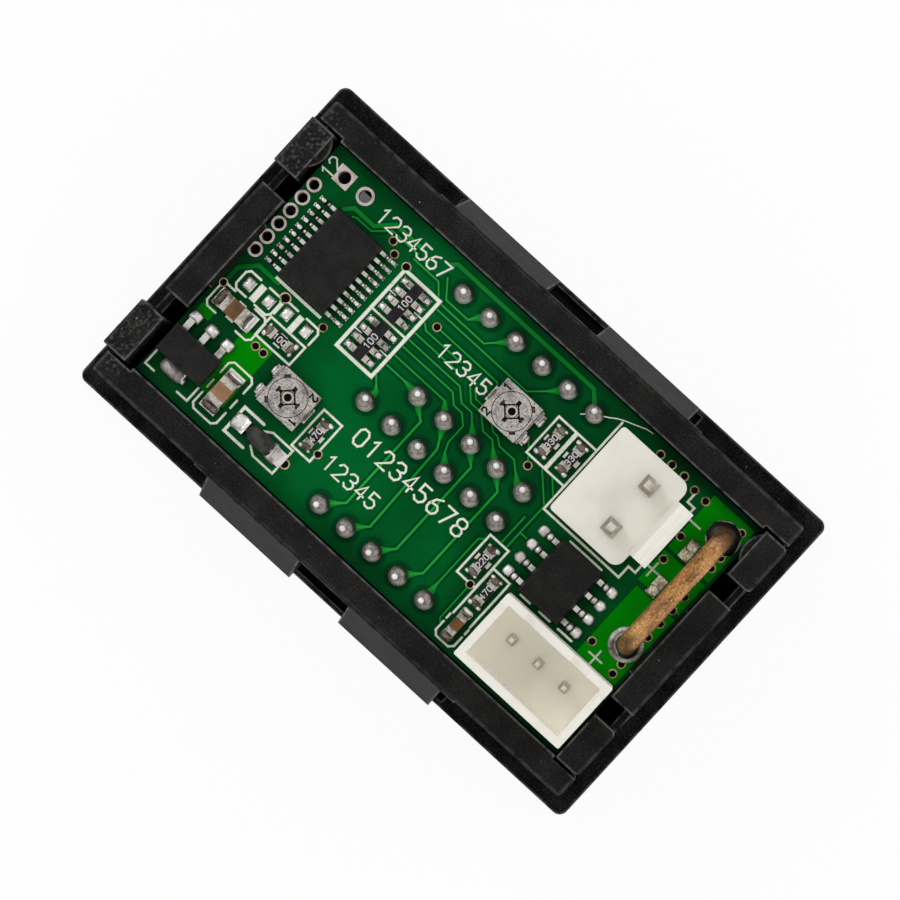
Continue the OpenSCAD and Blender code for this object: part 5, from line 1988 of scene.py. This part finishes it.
@dataclass(frozen=True)
class Studio:
    """The floor, the lamps and the camera."""

    camera_place: Size = (14.124, 4.281, 417.611)
    right: Size = (0.7366409, 0.6755063, -0.0324252)
    down: Size = (0.6754109, -0.7372793, -0.0154692)
    forward: Size = (-0.034356, -0.0105051, -0.9993544)
    sensor: float = 36.0
    lens: float = 227.0972
    clip_start: float = 10.0
    clip_end: float = 10000.0
    floor_half: float = 1500.0
    world_strength: float = 0.68
    # Each lamp's place, side and power.
    lamps: Tuple[Tuple[LampKind, Size, float, float], ...] = (
        (LampKind.KEY, (-420, 120, 420), 260, 0.75),
        (LampKind.FILL, (300, -380, 360), 320, 0.42),
        (LampKind.TOP, (260, 380, 420), 260, 0.3),
    )

    @staticmethod
    def _hang(kind: LampKind, place: Size, side: float, power: float) -> None:
        """Hang one square lamp that looks at the part.

        Args:
            kind: Which lamp it is.
            place: Where it hangs, in millimetres.
            side: The length of its side, in millimetres.
            power: Its power, in watts.
        """
        data = bpy.data.lights.new(kind.value, "AREA")
        data.shape = "SQUARE"
        data.size = side * MM
        data.energy = power
        lamp = bpy.data.objects.new(kind.value, data)
        lamp.location = Vector(place) * MM
        lamp.rotation_euler = (-Vector(place)).to_track_quat("-Z", "Y").to_euler()
        bpy.context.scene.collection.objects.link(lamp)

    def _floor(self) -> None:
        """Lay the floor."""
        half = self.floor_half * MM
        mesh = bpy.data.meshes.new("floor")
        corners = [(x, y, 0) for x, y in box_points(-half, -half, half, half)]
        mesh.from_pydata(corners, [], [(0, 1, 2, 3)])
        mesh.materials.append(FloorPaper("floor_paper").material())
        floor = bpy.data.objects.new("floor", mesh)
        bpy.context.scene.collection.objects.link(floor)

    def _camera(self) -> None:
        """Set the camera."""
        data = bpy.data.cameras.new("camera")
        data.sensor_width = self.sensor
        data.lens = self.lens
        data.clip_start = self.clip_start * MM
        data.clip_end = self.clip_end * MM
        camera = bpy.data.objects.new("camera", data)
        axes = Matrix((self.right, [-v for v in self.down], [-v for v in self.forward])).transposed()
        camera.matrix_world = Matrix.Translation(Vector(self.camera_place) * MM) @ axes.to_4x4()
        bpy.context.scene.collection.objects.link(camera)
        bpy.context.scene.camera = camera

    def _world(self) -> None:
        """Light the room evenly."""
        world = bpy.data.worlds.new("room")
        world.use_nodes = True
        background = world.node_tree.nodes["Background"]
        background.inputs["Color"].default_value = (1, 1, 1, 1)
        background.inputs["Strength"].default_value = self.world_strength
        bpy.context.scene.world = world

    def build(self) -> None:
        """Build the studio."""
        bpy.context.scene.view_settings.view_transform = "Standard"
        self._floor()
        self._world()
        for lamp in self.lamps:
            self._hang(*lamp)
        self._camera()


def main() -> None:
    """Load the frame, dress it, add what only the eye needs, and set the studio."""
    logging.basicConfig(level=logging.INFO, format="%(message)s")
    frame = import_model()
    SolidFinishes(frame["nodes"]).dress()
    face = NodeBox("circuit_board").top
    board = BoardFace(face)
    for piece in (
        CopperArtwork(board),
        Vias(board),
        InkPrint(board),
        ResistorCodes(),
        LeadSolder(face),
        ChipSolder(face),
        SpareSolder(face),
        ShuntFlux(face),
        TrimmerDetail("voltage_trimmer", "voltage_rotor", 180.0, face),
        TrimmerDetail("current_trimmer", "current_rotor", 0.0, face),
        Lint(face),
        Studio(),
    ):
        piece.build()


if __name__ == "__main__":
    main()
